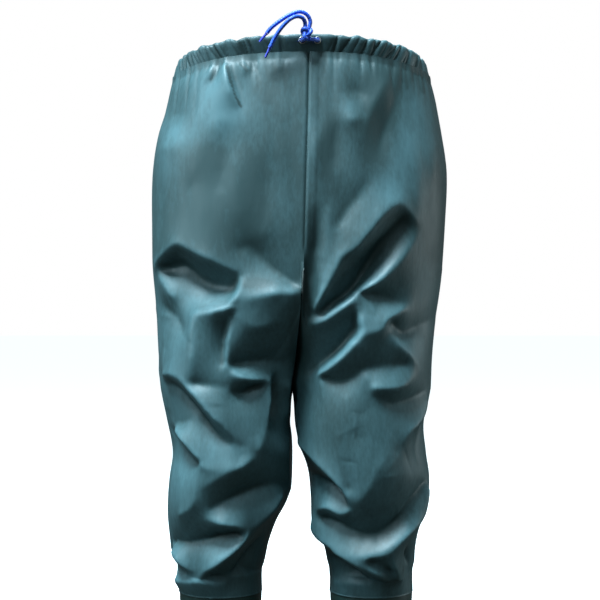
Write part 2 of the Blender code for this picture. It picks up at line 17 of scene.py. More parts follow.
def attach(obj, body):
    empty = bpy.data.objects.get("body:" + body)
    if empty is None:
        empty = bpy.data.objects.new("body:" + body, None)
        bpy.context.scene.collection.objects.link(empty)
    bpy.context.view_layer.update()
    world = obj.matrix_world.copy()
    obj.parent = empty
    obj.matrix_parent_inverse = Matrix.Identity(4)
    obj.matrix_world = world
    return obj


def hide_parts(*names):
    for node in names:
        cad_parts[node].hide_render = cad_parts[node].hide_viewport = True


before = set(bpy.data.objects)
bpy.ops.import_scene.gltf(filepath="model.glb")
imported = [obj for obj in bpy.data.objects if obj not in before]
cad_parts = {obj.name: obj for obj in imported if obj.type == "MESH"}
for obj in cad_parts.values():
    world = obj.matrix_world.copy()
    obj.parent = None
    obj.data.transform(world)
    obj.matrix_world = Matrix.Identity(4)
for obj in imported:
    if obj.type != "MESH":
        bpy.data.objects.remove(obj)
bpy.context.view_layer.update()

# %% [markdown]
# ## Camera
# The waders were photographed straight from the front, from about chest height. A level camera keeps
# upright lines upright, so the boots simply fall below the frame, as they do in the picture. The Standard
# view shows colours as they are, without a film curve.

# %% Camera
LEG_AXIS_Y = 0.037
EYE_HEIGHT = 0.800
EYE_DISTANCE = 2.400
VIEW_WIDTH = 1.000
SENSOR_MM = 36.0

camera_data = bpy.data.cameras.new("front_camera")
camera_data.sensor_width = SENSOR_MM
camera_data.lens = SENSOR_MM * EYE_DISTANCE / VIEW_WIDTH
camera = bpy.data.objects.new("front_camera", camera_data)
camera.location = (0.0, LEG_AXIS_Y - EYE_DISTANCE, EYE_HEIGHT)
camera.rotation_euler = (math.pi / 2, 0.0, 0.0)
bpy.context.scene.collection.objects.link(camera)
bpy.context.scene.camera = camera
bpy.context.scene.view_settings.view_transform = "Standard"
print("camera lens:", round(camera_data.lens, 1), "mm")

# %% [markdown]
# ## Light
# A coated cloth shows its folds by what it mirrors: facets that lean back catch the bright softbox
# overhead, and facets that lean forward look down into the dark. So the light comes from high in front, a
# little from the left, and almost nothing comes from below. Area lamps are used, because their shadows
# have soft edges.

# %% Softboxes
Softbox = namedtuple("Softbox", "name place width height watts colour")
SOFTBOXES = (
    Softbox("overhead_softbox", (-1.15, -1.40, 4.6), 1.2, 1.2, 600.0, (0.66, 0.89, 1.0)),
    Softbox("left_softbox", (-3.2, -1.1, 2.0), 1.4, 1.8, 60.0, (0.66, 0.90, 1.0)),
    Softbox("right_softbox", (3.1, 0.5, 0.8), 1.0, 1.2, 25.0, (0.76, 0.93, 0.96)),
    Softbox("back_softbox", (0.4, 3.2, 3.4), 2.0, 1.4, 90.0, (0.66, 0.90, 1.0)),
)
LIGHT_TARGET = Vector((0.0, 0.0, 0.75))


def hang_lamp(lamp, place, target):
    """Hangs a lamp at a place and aims it at a target."""
    light = bpy.data.objects.new(lamp.name, lamp)
    light.location = place
    light.rotation_euler = (target - Vector(place)).to_track_quat("-Z", "Y").to_euler()
    bpy.context.scene.collection.objects.link(light)


for box in SOFTBOXES:
    lamp = bpy.data.lights.new(box.name, "AREA")
    lamp.shape = "RECTANGLE"
    lamp.size = box.width
    lamp.size_y = box.height
    lamp.energy = box.watts
    lamp.color = box.colour
    hang_lamp(lamp, box.place, LIGHT_TARGET)
print(len(SOFTBOXES), "softboxes")

# %% [markdown]
# The folds above throw shade on the lower legs, where the picture still has bright facets. A small spot
# with a soft edge lifts them; a larger lamp would also brighten the dark sides of the folds.

# %% Spot on the lower legs
SPOT_PLACE = (-0.55, -1.20, 1.60)
SPOT_TARGET = Vector((0.0, 0.0, 0.37))
SPOT_WATTS = 36.0
SPOT_COLOUR = (0.66, 0.89, 1.0)
SPOT_ANGLE = 30
SPOT_RADIUS = 0.22

spot = bpy.data.lights.new("leg_spot", "SPOT")
spot.energy = SPOT_WATTS
spot.color = SPOT_COLOUR
spot.spot_size = math.radians(SPOT_ANGLE)
spot.spot_blend = 1.0
spot.shadow_soft_size = SPOT_RADIUS
hang_lamp(spot, SPOT_PLACE, SPOT_TARGET)
print("spot of", SPOT_WATTS, "watts")

# %% [markdown]
# ## Floor
# The ground of the picture is plain white, without a horizon. The floor is one large sheet that glows
# almost white. It catches shadows, but it is hidden from the rays that light the cloth, so it throws no
# light back.

# %% Floor
FLOOR_HALF = 30.0
FLOOR_GREY = 0.80
FLOOR_ROUGHNESS = 0.9
FLOOR_GLOW = 0.74


def grid_mesh(name, points, faces):
    """A smooth mesh object in the scene, from points and faces."""
    mesh = bpy.data.meshes.new(name)
    mesh.from_pydata(points, [], faces)
    mesh.shade_smooth()
    obj = bpy.data.objects.new(name, mesh)
    bpy.context.scene.collection.objects.link(obj)
    return obj


def new_material(name):
    """A material with its node tree and its Principled shader."""
    material = bpy.data.materials.new(name)
    material.use_nodes = True
    tree = material.node_tree
    return material, tree, tree.nodes["Principled BSDF"]


corners = [(x * FLOOR_HALF, y * FLOOR_HALF, 0) for x, y in ((-1, -1), (1, -1), (1, 1), (-1, 1))]
floor = grid_mesh("studio_floor", corners, [(0, 1, 2, 3)])
floor.visible_diffuse = False
floor.visible_glossy = False
paper, _, paper_shader = new_material("studio_paper")
paper_shader.inputs["Base Color"].default_value = (FLOOR_GREY, FLOOR_GREY, FLOOR_GREY, 1)
paper_shader.inputs["Roughness"].default_value = FLOOR_ROUGHNESS
paper_shader.inputs["Emission Color"].default_value = (1, 1, 1, 1)
paper_shader.inputs["Emission Strength"].default_value = FLOOR_GLOW
floor.data.materials.append(paper)
print("floor", 2 * FLOOR_HALF, "m across")

# %% [markdown]
# ## Nodes
# The surroundings and the finishes are made of shader nodes. A few helpers keep that short: they add a
# node and set its values by name, feed a socket, put two values through a Math node, and blend two
# colours.

# %% Helpers for nodes
def add_node(tree, kind, **values):
    """A node with its input values set by name, and its properties where no input has the name."""
    node = tree.nodes.new("ShaderNode" + kind)
    for label, value in values.items():
        socket = next((s for s in node.inputs if s.name.replace(" ", "_") == label), None)
        if socket is None:
            setattr(node, label, value)
        else:
            socket.default_value = value
    return node


def feed(tree, socket, value):
    """Links another node's output to a socket, or sets the socket to a plain value."""
    if isinstance(value, bpy.types.NodeSocket):
        tree.links.new(value, socket)
    else:
        socket.default_value = value


def maths(tree, operation, a, b=0.0):
    """The output of one Math node on two sockets or numbers."""
    node = add_node(tree, "Math", operation=operation)
    feed(tree, node.inputs[0], a)
    feed(tree, node.inputs[1], b)
    return node.outputs[0]


def blend_colours(tree, mask, low, high):
    """The colour between two colours that a mask picks."""
    node = add_node(tree, "Mix", data_type="RGBA")
    tree.links.new(mask, node.inputs["Factor"])
    for socket, colour in ((node.inputs[6], low), (node.inputs[7], high)):
        feed(tree, socket, colour if isinstance(colour, bpy.types.NodeSocket) else (*colour, 1.0))
    return node.outputs[2]


# %% [markdown]
# ## Surroundings
# The cloth mirrors what is round it: a dim grey below and a paler sky above. A world shader can tell the
# camera's own rays from all others, so the camera sees plain white behind the waders instead.

# %% Surroundings
SKY_LOW = (0.42, (0.053, 0.058, 0.053, 1))
SKY_HIGH = (0.92, (0.32, 0.44, 0.47, 1))

world = bpy.data.worlds.new("studio_world")
world.use_nodes = True
bpy.context.scene.world = world
sky = world.node_tree
sky.nodes.clear()
direction = add_node(sky, "TexCoord")
split = add_node(sky, "SeparateXYZ")
spread = add_node(sky, "MapRange", From_Min=-1.0)
ramp = add_node(sky, "ValToRGB")
for stop, (position, colour) in zip(ramp.color_ramp.elements, (SKY_LOW, SKY_HIGH)):
    stop.position = position
    stop.color = colour
dim = add_node(sky, "Background")
white = add_node(sky, "Background", Color=(1, 1, 1, 1))
rays = add_node(sky, "LightPath")
pick = add_node(sky, "MixShader")
sky.links.new(direction.outputs["Generated"], split.inputs[0])
sky.links.new(split.outputs["Z"], spread.inputs["Value"])
sky.links.new(spread.outputs[0], ramp.inputs[0])
sky.links.new(ramp.outputs[0], dim.inputs["Color"])
for socket, value in zip(pick.inputs, (rays.outputs["Is Camera Ray"], dim.outputs[0], white.outputs[0])):
    sky.links.new(value, socket)
sky.links.new(pick.outputs[0], add_node(sky, "OutputWorld").inputs[0])
print("surroundings of", len(sky.nodes), "nodes")

# %% [markdown]
# ## Grain and mottling
# Cloth, cord, metal, rubber and felt share two effects: a fine pebbled grain, and slow patches where the
# surface is paler or rougher. Each is one node group, so that every finish can set it to its own size. A
# group only works out masks and heights; the Principled shader that uses them stays in the material.

# %% Fine grain
MM_PER_M = 1000.0
PEBBLE_SMOOTHNESS = 0.6


def node_group(name, inputs, outputs):
    """An empty shader node group with its named inputs and outputs."""
    group = bpy.data.node_groups.new(name, "ShaderNodeTree")
    for label, kind, value in inputs:
        socket = group.interface.new_socket(label, in_out="INPUT", socket_type="NodeSocket" + kind)
        socket.default_value = value
    for label, kind in outputs:
        group.interface.new_socket(label, in_out="OUTPUT", socket_type="NodeSocket" + kind)
    return group, group.nodes.new("NodeGroupInput"), group.nodes.new("NodeGroupOutput")


def build_grain():
    """Small pebbles and pores, as a height from 0 to 1."""
    group, given, made = node_group("fine_grain", [("Size mm", "Float", 1.0)], [("Height", "Float")])
    place = add_node(group, "TexCoord")
    scale = maths(group, "DIVIDE", MM_PER_M, given.outputs["Size mm"])
    pebbles = add_node(group, "TexVoronoi", feature="SMOOTH_F1", Smoothness=PEBBLE_SMOOTHNESS)
    cloud = add_node(group, "TexNoise", Detail=3.0)
    for pattern in (pebbles, cloud):
        group.links.new(place.outputs["Object"], pattern.inputs["Vector"])
        group.links.new(scale, pattern.inputs["Scale"])
    both = maths(group, "ADD", pebbles.outputs["Distance"], cloud.outputs["Fac"])
    group.links.new(maths(group, "MULTIPLY", both, 0.5), made.inputs["Height"])
    return group


GRAIN = build_grain()
print("node group", GRAIN.name)

# %% Slow mottling
# Values of the noise that become 0 and 1 in the mask
MOTTLE_FROM = 0.32
MOTTLE_TO = 0.68


def build_mottle():
    """Slow soft patches, drawn out along Z, as a mask from 0 to 1."""
    inputs = [("Size mm", "Float", 60.0), ("Drawn out", "Float", 2.0)]
    group, given, made = node_group("slow_mottle", inputs, [("Mask", "Float")])
    place = add_node(group, "TexCoord")
    squeeze = add_node(group, "CombineXYZ", X=1.0, Y=1.0)
    group.links.new(maths(group, "DIVIDE", 1.0, given.outputs["Drawn out"]), squeeze.inputs["Z"])
    drawn = add_node(group, "VectorMath", operation="MULTIPLY")
    group.links.new(place.outputs["Object"], drawn.inputs[0])
    group.links.new(squeeze.outputs[0], drawn.inputs[1])
    cloud = add_node(group, "TexNoise", Detail=3.5, Roughness=0.55)
    group.links.new(drawn.outputs[0], cloud.inputs["Vector"])
    group.links.new(maths(group, "DIVIDE", MM_PER_M, given.outputs["Size mm"]), cloud.inputs["Scale"])
    spread = add_node(group, "MapRange", From_Min=MOTTLE_FROM, From_Max=MOTTLE_TO)
    group.links.new(cloud.outputs["Fac"], spread.inputs["Value"])
    group.links.new(spread.outputs[0], made.inputs["Mask"])
    return group


MOTTLE = build_mottle()
print("node group", MOTTLE.name)

# %% [markdown]
# Every finish places these groups in its own tree, spreads a mask over a range of values and adds bumps,
# so these steps are helpers as well.

# %% Helpers for finishes
def place_group(tree, group, output, **values):
    """The output of a node group in a tree, with its values set by name."""
    node = tree.nodes.new("ShaderNodeGroup")
    node.node_tree = group
    for label, value in values.items():
        node.inputs[label.replace("_", " ")].default_value = value
    return node.outputs[output]


def mottle(tree, size_mm, drawn_out=1.0):
    return place_group(tree, MOTTLE, "Mask", Size_mm=size_mm, Drawn_out=drawn_out)


def grain(tree, size_mm):
    return place_group(tree, GRAIN, "Height", Size_mm=size_mm)


def spread_value(tree, mask, low, high):
    """A number between two numbers that a mask picks."""
    node = add_node(tree, "MapRange", To_Min=low, To_Max=high)
    tree.links.new(mask, node.inputs["Value"])
    return node.outputs[0]


def bump(tree, shader, height, depth_mm, before=None):
    """Feeds a height to the shader's normal, on top of a bump that came before."""
    node = add_node(tree, "Bump", Strength=1.0, Distance=depth_mm / MM_PER_M)
    tree.links.new(height, node.inputs["Height"])
    if before is not None:
        tree.links.new(before.outputs["Normal"], node.inputs["Normal"])
    tree.links.new(node.outputs["Normal"], shader.inputs["Normal"])
    return node


# %% [markdown]
# ## Coated cloth
# The cloth is woven and has a satin coating in dark teal and paler teal. Slow mottling picks between
# the two colours, and a value stored on the mesh moves the choice at particular places: up for painted
# light, down for painted shade. Two bumps follow: slack in the coating, and its grain.

# %% Coated cloth
# The pale colour also gives painted light, and the dark one painted shade
CLOTH_DARK = (0.023, 0.052, 0.055)
CLOTH_PALE = (0.066, 0.140, 0.158)
# The back of the cloth is bare weave, as the inside of the waist shows
WEAVE = (0.052, 0.066, 0.064)
WEAVE_ROUGHNESS = 0.9


def coated_cloth():
    material, tree, shader = new_material("coated_cloth_finish")
    patches = mottle(tree, 70.0, 2.2)
    smears = mottle(tree, 16.0, 3.0)
    flecks = mottle(tree, 5.0, 2.5)
    # Painted light and shade stored on the mesh lift or lower the colour
    painted_shading = add_node(tree, "Attribute", attribute_name="painted_shading").outputs["Fac"]
    shade = maths(tree, "MULTIPLY", painted_shading, spread_value(tree, smears, 0.6, 1.4))
    for mask, low, high in ((patches, 0.30, 0.54), (smears, 0.0, 0.12), (flecks, -0.12, 0.12)):
        shade = maths(tree, "ADD", shade, spread_value(tree, mask, low, high))
    inside = add_node(tree, "NewGeometry").outputs["Backfacing"]
    colour = blend_colours(tree, shade, CLOTH_DARK, CLOTH_PALE)
    tree.links.new(blend_colours(tree, inside, colour, WEAVE), shader.inputs["Base Color"])
    rough = spread_value(tree, patches, 0.47, 0.55)
    rough = maths(tree, "ADD", rough, spread_value(tree, smears, -0.02, 0.03))
    rough = maths(tree, "MAXIMUM", rough, maths(tree, "MULTIPLY", inside, WEAVE_ROUGHNESS))
    tree.links.new(rough, shader.inputs["Roughness"])
    slack = bump(tree, shader, smears, 0.25)
    bump(tree, shader, grain(tree, 1.1), 0.03, before=slack)
    return material


CLOTH = coated_cloth()
print("finish", CLOTH.name)

# %% [markdown]
# ## The trousers' plain form
# The trousers are cut as two legs that meet at a seam down the front and the back. Sections at a few
# heights give the form: where the left, right, front and back of the cloth are, and where the seam runs.

# %% Sections of the trousers
BodyRow = namedtuple("BodyRow", "height left right front back seam")
BODY = (
    BodyRow(0.860, -0.241, 0.235, -0.112, 0.190, 0.006),
    BodyRow(0.930, -0.241, 0.239, -0.117, 0.195, 0.008),
    BodyRow(1.010, -0.241, 0.241, -0.116, 0.190, 0.010),
    BodyRow(1.070, -0.235, 0.234, -0.111, 0.180, 0.012),
    BodyRow(1.120, -0.222, 0.226, -0.105, 0.168, 0.013),
    BodyRow(1.161, -0.213, 0.218, -0.100, 0.158, 0.014),
)
LegRow = namedtuple("LegRow", "height left_outer left_inner right_inner right_outer front back")
LEGS = (
    LegRow(0.3180, -0.2010, -0.0630, 0.0495, 0.1875, -0.0333, 0.1073),
    LegRow(0.3520, -0.2010, -0.0630, 0.0495, 0.1875, -0.0333, 0.1073),
    LegRow(0.3700, -0.2040, -0.0580, 0.0460, 0.1910, -0.0430, 0.1130),
    LegRow(0.4000, -0.2170, -0.0520, 0.0410, 0.1920, -0.0580, 0.1180),
    LegRow(0.4350, -0.2210, -0.0400, 0.0250, 0.1960, -0.0720, 0.1210),
    LegRow(0.4700, -0.2200, -0.0210, 0.0170, 0.2060, -0.0830, 0.1230),
    LegRow(0.5100, -0.2170, -0.0080, 0.0090, 0.2130, -0.0900, 0.1260),
    LegRow(0.5500, -0.2130, -0.0080, 0.0020, 0.2095, -0.0940, 0.1310),
    LegRow(0.6000, -0.2230, -0.0200, -0.0070, 0.2060, -0.0970, 0.1400),
    LegRow(0.6600, -0.2340, -0.0170, -0.0110, 0.2170, -0.1000, 0.1530),
)
WAIST_HEIGHT = BODY[-1].height
FORK_HEIGHT = BODY[0].height
LEG_TOP = LEGS[-1].height
LEG_END = LEGS[0].height
print("trousers from", LEG_END, "to", WAIST_HEIGHT, "m above the floor")

# %% [markdown]
# Straight lines from row to row would leave corners in the cloth. A smooth curve through each column of
# the tables is used instead; it passes through every row, so the sizes stay as they are written.

# %% Curves through the tables
def read_table(rows, column, at):
    """A column's values at places along the first column, on a smooth curve through the rows."""
    places = np.array([row[0] for row in rows])
    values = np.array([getattr(row, column) for row in rows])
    number = np.arange(len(rows))
    before, after = np.maximum(number - 1, 0), np.minimum(number + 1, len(rows) - 1)
    slopes = (values[after] - values[before]) / (places[after] - places[before])
    at = np.clip(at, places[0], places[-1])
    i = np.clip(np.searchsorted(places, at, side="right") - 1, 0, len(rows) - 2)
    span = places[i + 1] - places[i]
    s = (at - places[i]) / span
    start = values[i] * (1 + 2 * s) * (1 - s) ** 2 + span * slopes[i] * s * (1 - s) ** 2
    end = values[i + 1] * s * s * (3 - 2 * s) + span * slopes[i + 1] * s * s * (s - 1)
    return start + end


def smoothstep(value):
    """A soft step from 0 to 1 as a value goes from 0 to 1."""
    value = np.clip(value, 0.0, 1.0)
    return value * value * (3 - 2 * value)


hip_width = read_table(BODY, "right", FORK_HEIGHT) - read_table(BODY, "left", FORK_HEIGHT)
print("hips at the fork", round(float(hip_width), 3), "m wide")

# %% [markdown]
# The body is a rounded box and each leg an oval. Both are written as a surface: a turn round the leg and
# a height give a point. The drawstring draws the waist up at its front and back, which is added to the
# height.

# %% Surfaces of body and legs
BODY_SQUARENESS = 0.86
# Share of a leg's columns that lie under the crotch
CROTCH_SHARE = 8 / 28
WAIST_FRONT_RISE = 0.025
WAIST_BACK_RISE = 0.006
WAIST_RISE_FADE = 0.30


def waist_rise(y, height):
    """How far the waist is drawn up at its front and back, fading out down the body."""
    ahead = y < LEG_AXIS_Y
    edge = np.where(ahead, BODY[-1].front, BODY[-1].back)
    rise = np.where(ahead, WAIST_FRONT_RISE, WAIST_BACK_RISE)
    fade = np.clip(1 - (WAIST_HEIGHT - height) / WAIST_RISE_FADE, 0.0, 1.0)
    return rise * ((y - LEG_AXIS_Y) / (edge - LEG_AXIS_Y)) ** 2 * fade


def body_points(side, turn, height):
    """The body's surface on one side, from its front seam (turn 0) to its back seam (turn 1)."""
    left, right, front, back, seam = (read_table(BODY, column, height) for column in BodyRow._fields[1:])
    across = np.abs(np.sin(np.pi * turn)) ** BODY_SQUARENESS
    along = np.sign(np.cos(np.pi * turn)) * np.abs(np.cos(np.pi * turn)) ** BODY_SQUARENESS
    x = seam + across * (right - seam if side > 0 else left - seam)
    y = LEG_AXIS_Y + along * np.where(along > 0, front - LEG_AXIS_Y, LEG_AXIS_Y - back)
    return np.stack([x, y, height + waist_rise(y, height)], axis=-1)


def leg_points(side, turn, height):
    """A leg's surface, from the crotch's front (turn 0) by its outer side and back along its inner side."""
    name = "right" if side > 0 else "left"
    outer, inner = read_table(LEGS, name + "_outer", height), read_table(LEGS, name + "_inner", height)
    front, back = read_table(LEGS, "front", height), read_table(LEGS, "back", height)
    angle = -math.pi / 2 + math.pi * CROTCH_SHARE + 2 * math.pi * turn
    x = (outer + inner) / 2 + (outer - inner) / 2 * np.sin(angle)
    y = (front + back) / 2 - (back - front) / 2 * np.cos(angle)
    return np.stack([x, y, height + 0.0 * x], axis=-1)


waist_front = body_points(1, np.array([0.0]), np.array([WAIST_HEIGHT]))[0]
print("the waist's front is at", [round(float(x), 3) for x in waist_front])

# %% [markdown]
# Each leg is one grid of points. Its outer columns carry on up to the waist, and its inner columns start
# at the curve of the crotch. Rows and columns are two to three millimetres apart, fine enough for sharp
# creases.

# %% Crotch and thighs
AROUND = 308
OUTER = round(AROUND * (1 - CROTCH_SHARE))
BODY_ROWS = 101
FORK_ROWS = 76
LEG_ROWS = 150
FORK_ROW = BODY_ROWS - 1
ROWS = BODY_ROWS + FORK_ROWS + LEG_ROWS - 1
CROTCH_DROP = 0.085
CROTCH_ROUNDNESS = 0.8
# Where the two thighs press on each other, by height
MeetRow = namedtuple("MeetRow", "height across")
THIGHS_MEET = (
    MeetRow(0.600, -0.0135),
    MeetRow(0.640, -0.0130),
    MeetRow(0.715, -0.0020),
    MeetRow(0.800, 0.0050),
    MeetRow(0.860, 0.0060),
)
THIGH_PRESS = 0.012
# They press in full down to the first height, and have parted at the second
PRESSED_DOWN_TO = 0.680
PARTED_AT = 0.645
# Below the fork the pressing starts over this way
PRESS_START = 0.070


def crotch_points():
    """The curve under the fork, from its back to its front, at the inner columns."""
    front, back = (body_points(1, np.array([turn]), np.array([FORK_HEIGHT]))[0] for turn in (0.0, 1.0))
    angle = np.linspace(math.pi, 0.0, AROUND - OUTER + 1)[1:-1]
    points = (front + back) / 2 + np.cos(angle)[:, None] * (front - back) / 2
    points[:, 2] -= CROTCH_DROP * np.sin(angle) ** CROTCH_ROUNDNESS
    return points


def press_thighs(points, side):
    """Swells a leg's inner side towards the other leg, where the thighs press on each other."""
    low = points[FORK_ROW + 1:]
    inner = low[..., 0].max(axis=1) if side < 0 else low[..., 0].min(axis=1)
    outer = low[..., 0].min(axis=1) if side < 0 else low[..., 0].max(axis=1)
    height = low[..., 2].mean(axis=1)
    meet = read_table(THIGHS_MEET, "across", height) - side * THIGH_PRESS
    pressing = smoothstep((height - PARTED_AT) / (PRESSED_DOWN_TO - PARTED_AT))
    pressing *= smoothstep((height[0] - height) / PRESS_START)
    reach = ((low[..., 0] - outer[:, None]) / (inner - outer)[:, None]).clip(0, 1) ** 3
    low[..., 0] += reach * (pressing * (meet - inner))[:, None]


print("crotch", round(float(crotch_points()[:, 2].min()), 3), "m above the floor")

# %% Leg grids
FINE_STEPS = 2001


def way_along(line):
    """The way from a line's first point to each of its points."""
    return np.concatenate([[0.0], np.cumsum(np.linalg.norm(np.diff(line, axis=0), axis=1))])


def even_turns(side):
    """Turns at which the outer columns are evenly spaced along the waist, and the way from seam to seam."""
    fine = np.linspace(0.0, 1.0, FINE_STEPS)
    way = way_along(body_points(side, fine, np.full(fine.size, WAIST_HEIGHT)))
    return np.interp(np.linspace(0.0, way[-1], OUTER + 1), way, fine), way[-1]


def leg_grid(side):
    """One half of the trousers as rows of points from the waist down; inner columns start at the fork."""
    points = np.zeros((ROWS, AROUND, 3))
    outer_turn = even_turns(side)[0]
    turn = np.arange(AROUND) / AROUND
    for row, height in enumerate(np.linspace(WAIST_HEIGHT, FORK_HEIGHT, BODY_ROWS)):
        points[row, :OUTER + 1] = body_points(side, outer_turn, np.full(OUTER + 1, height))
    points[FORK_ROW, OUTER + 1:] = crotch_points()
    fork = points[FORK_ROW]
    top = leg_points(side, turn, np.full(AROUND, LEG_TOP))
    for step in range(1, FORK_ROWS + 1):
        share = step / FORK_ROWS
        ring = fork + (top - fork) * smoothstep(share)
        ring[:, 2] = fork[:, 2] + (top[:, 2] - fork[:, 2]) * share
        points[FORK_ROW + step] = ring
    heights = np.linspace(LEG_TOP, LEG_END, LEG_ROWS)
    for row in range(1, LEG_ROWS):
        points[FORK_ROW + FORK_ROWS + row] = leg_points(side, turn, np.full(AROUND, heights[row]))
    press_thighs(points, side)
    return points


SIDES = {"left": -1, "right": 1}
PLAIN = {leg: leg_grid(side) for leg, side in SIDES.items()}
print("leg grids of", ROWS, "rows and", AROUND, "columns")

# %% [markdown]
# Where two tables meet, a faint line would show round the leg. The rows near it are averaged with their
# neighbours until it is gone. Then the outward direction at each point is worked out, for the folds to
# follow.

# %% Blended grids and outward directions
BLEND_ROWS = 24
BLEND_PASSES = 60


def blend_over(points, row, columns):
    """Eases the surface over a row where two tables meet."""
    band = slice(row - BLEND_ROWS, row + BLEND_ROWS + 1)
    for _ in range(BLEND_PASSES):
        near = points[band, columns]
        near[1:-1] = (near[:-2] + 2 * near[1:-1] + near[2:]) / 4


def outward(points, side):
    """Outward directions of a leg's grid."""
    down = np.gradient(points, axis=0)
    round_leg = (np.roll(points, -1, axis=1) - np.roll(points, 1, axis=1)) / 2
    round_leg[:FORK_ROW, :OUTER + 1] = np.gradient(points[:FORK_ROW, :OUTER + 1], axis=1)
    normal = np.cross(down, round_leg) * side
    return normal / np.maximum(np.linalg.norm(normal, axis=-1, keepdims=True), 1e-9)


for points in PLAIN.values():
    blend_over(points, FORK_ROW, slice(1, OUTER))
    blend_over(points, FORK_ROW + FORK_ROWS, slice(None))
OUT = {leg: outward(PLAIN[leg], side) for leg, side in SIDES.items()}
print("outward directions for", sum(out[..., 0].size for out in OUT.values()), "points")
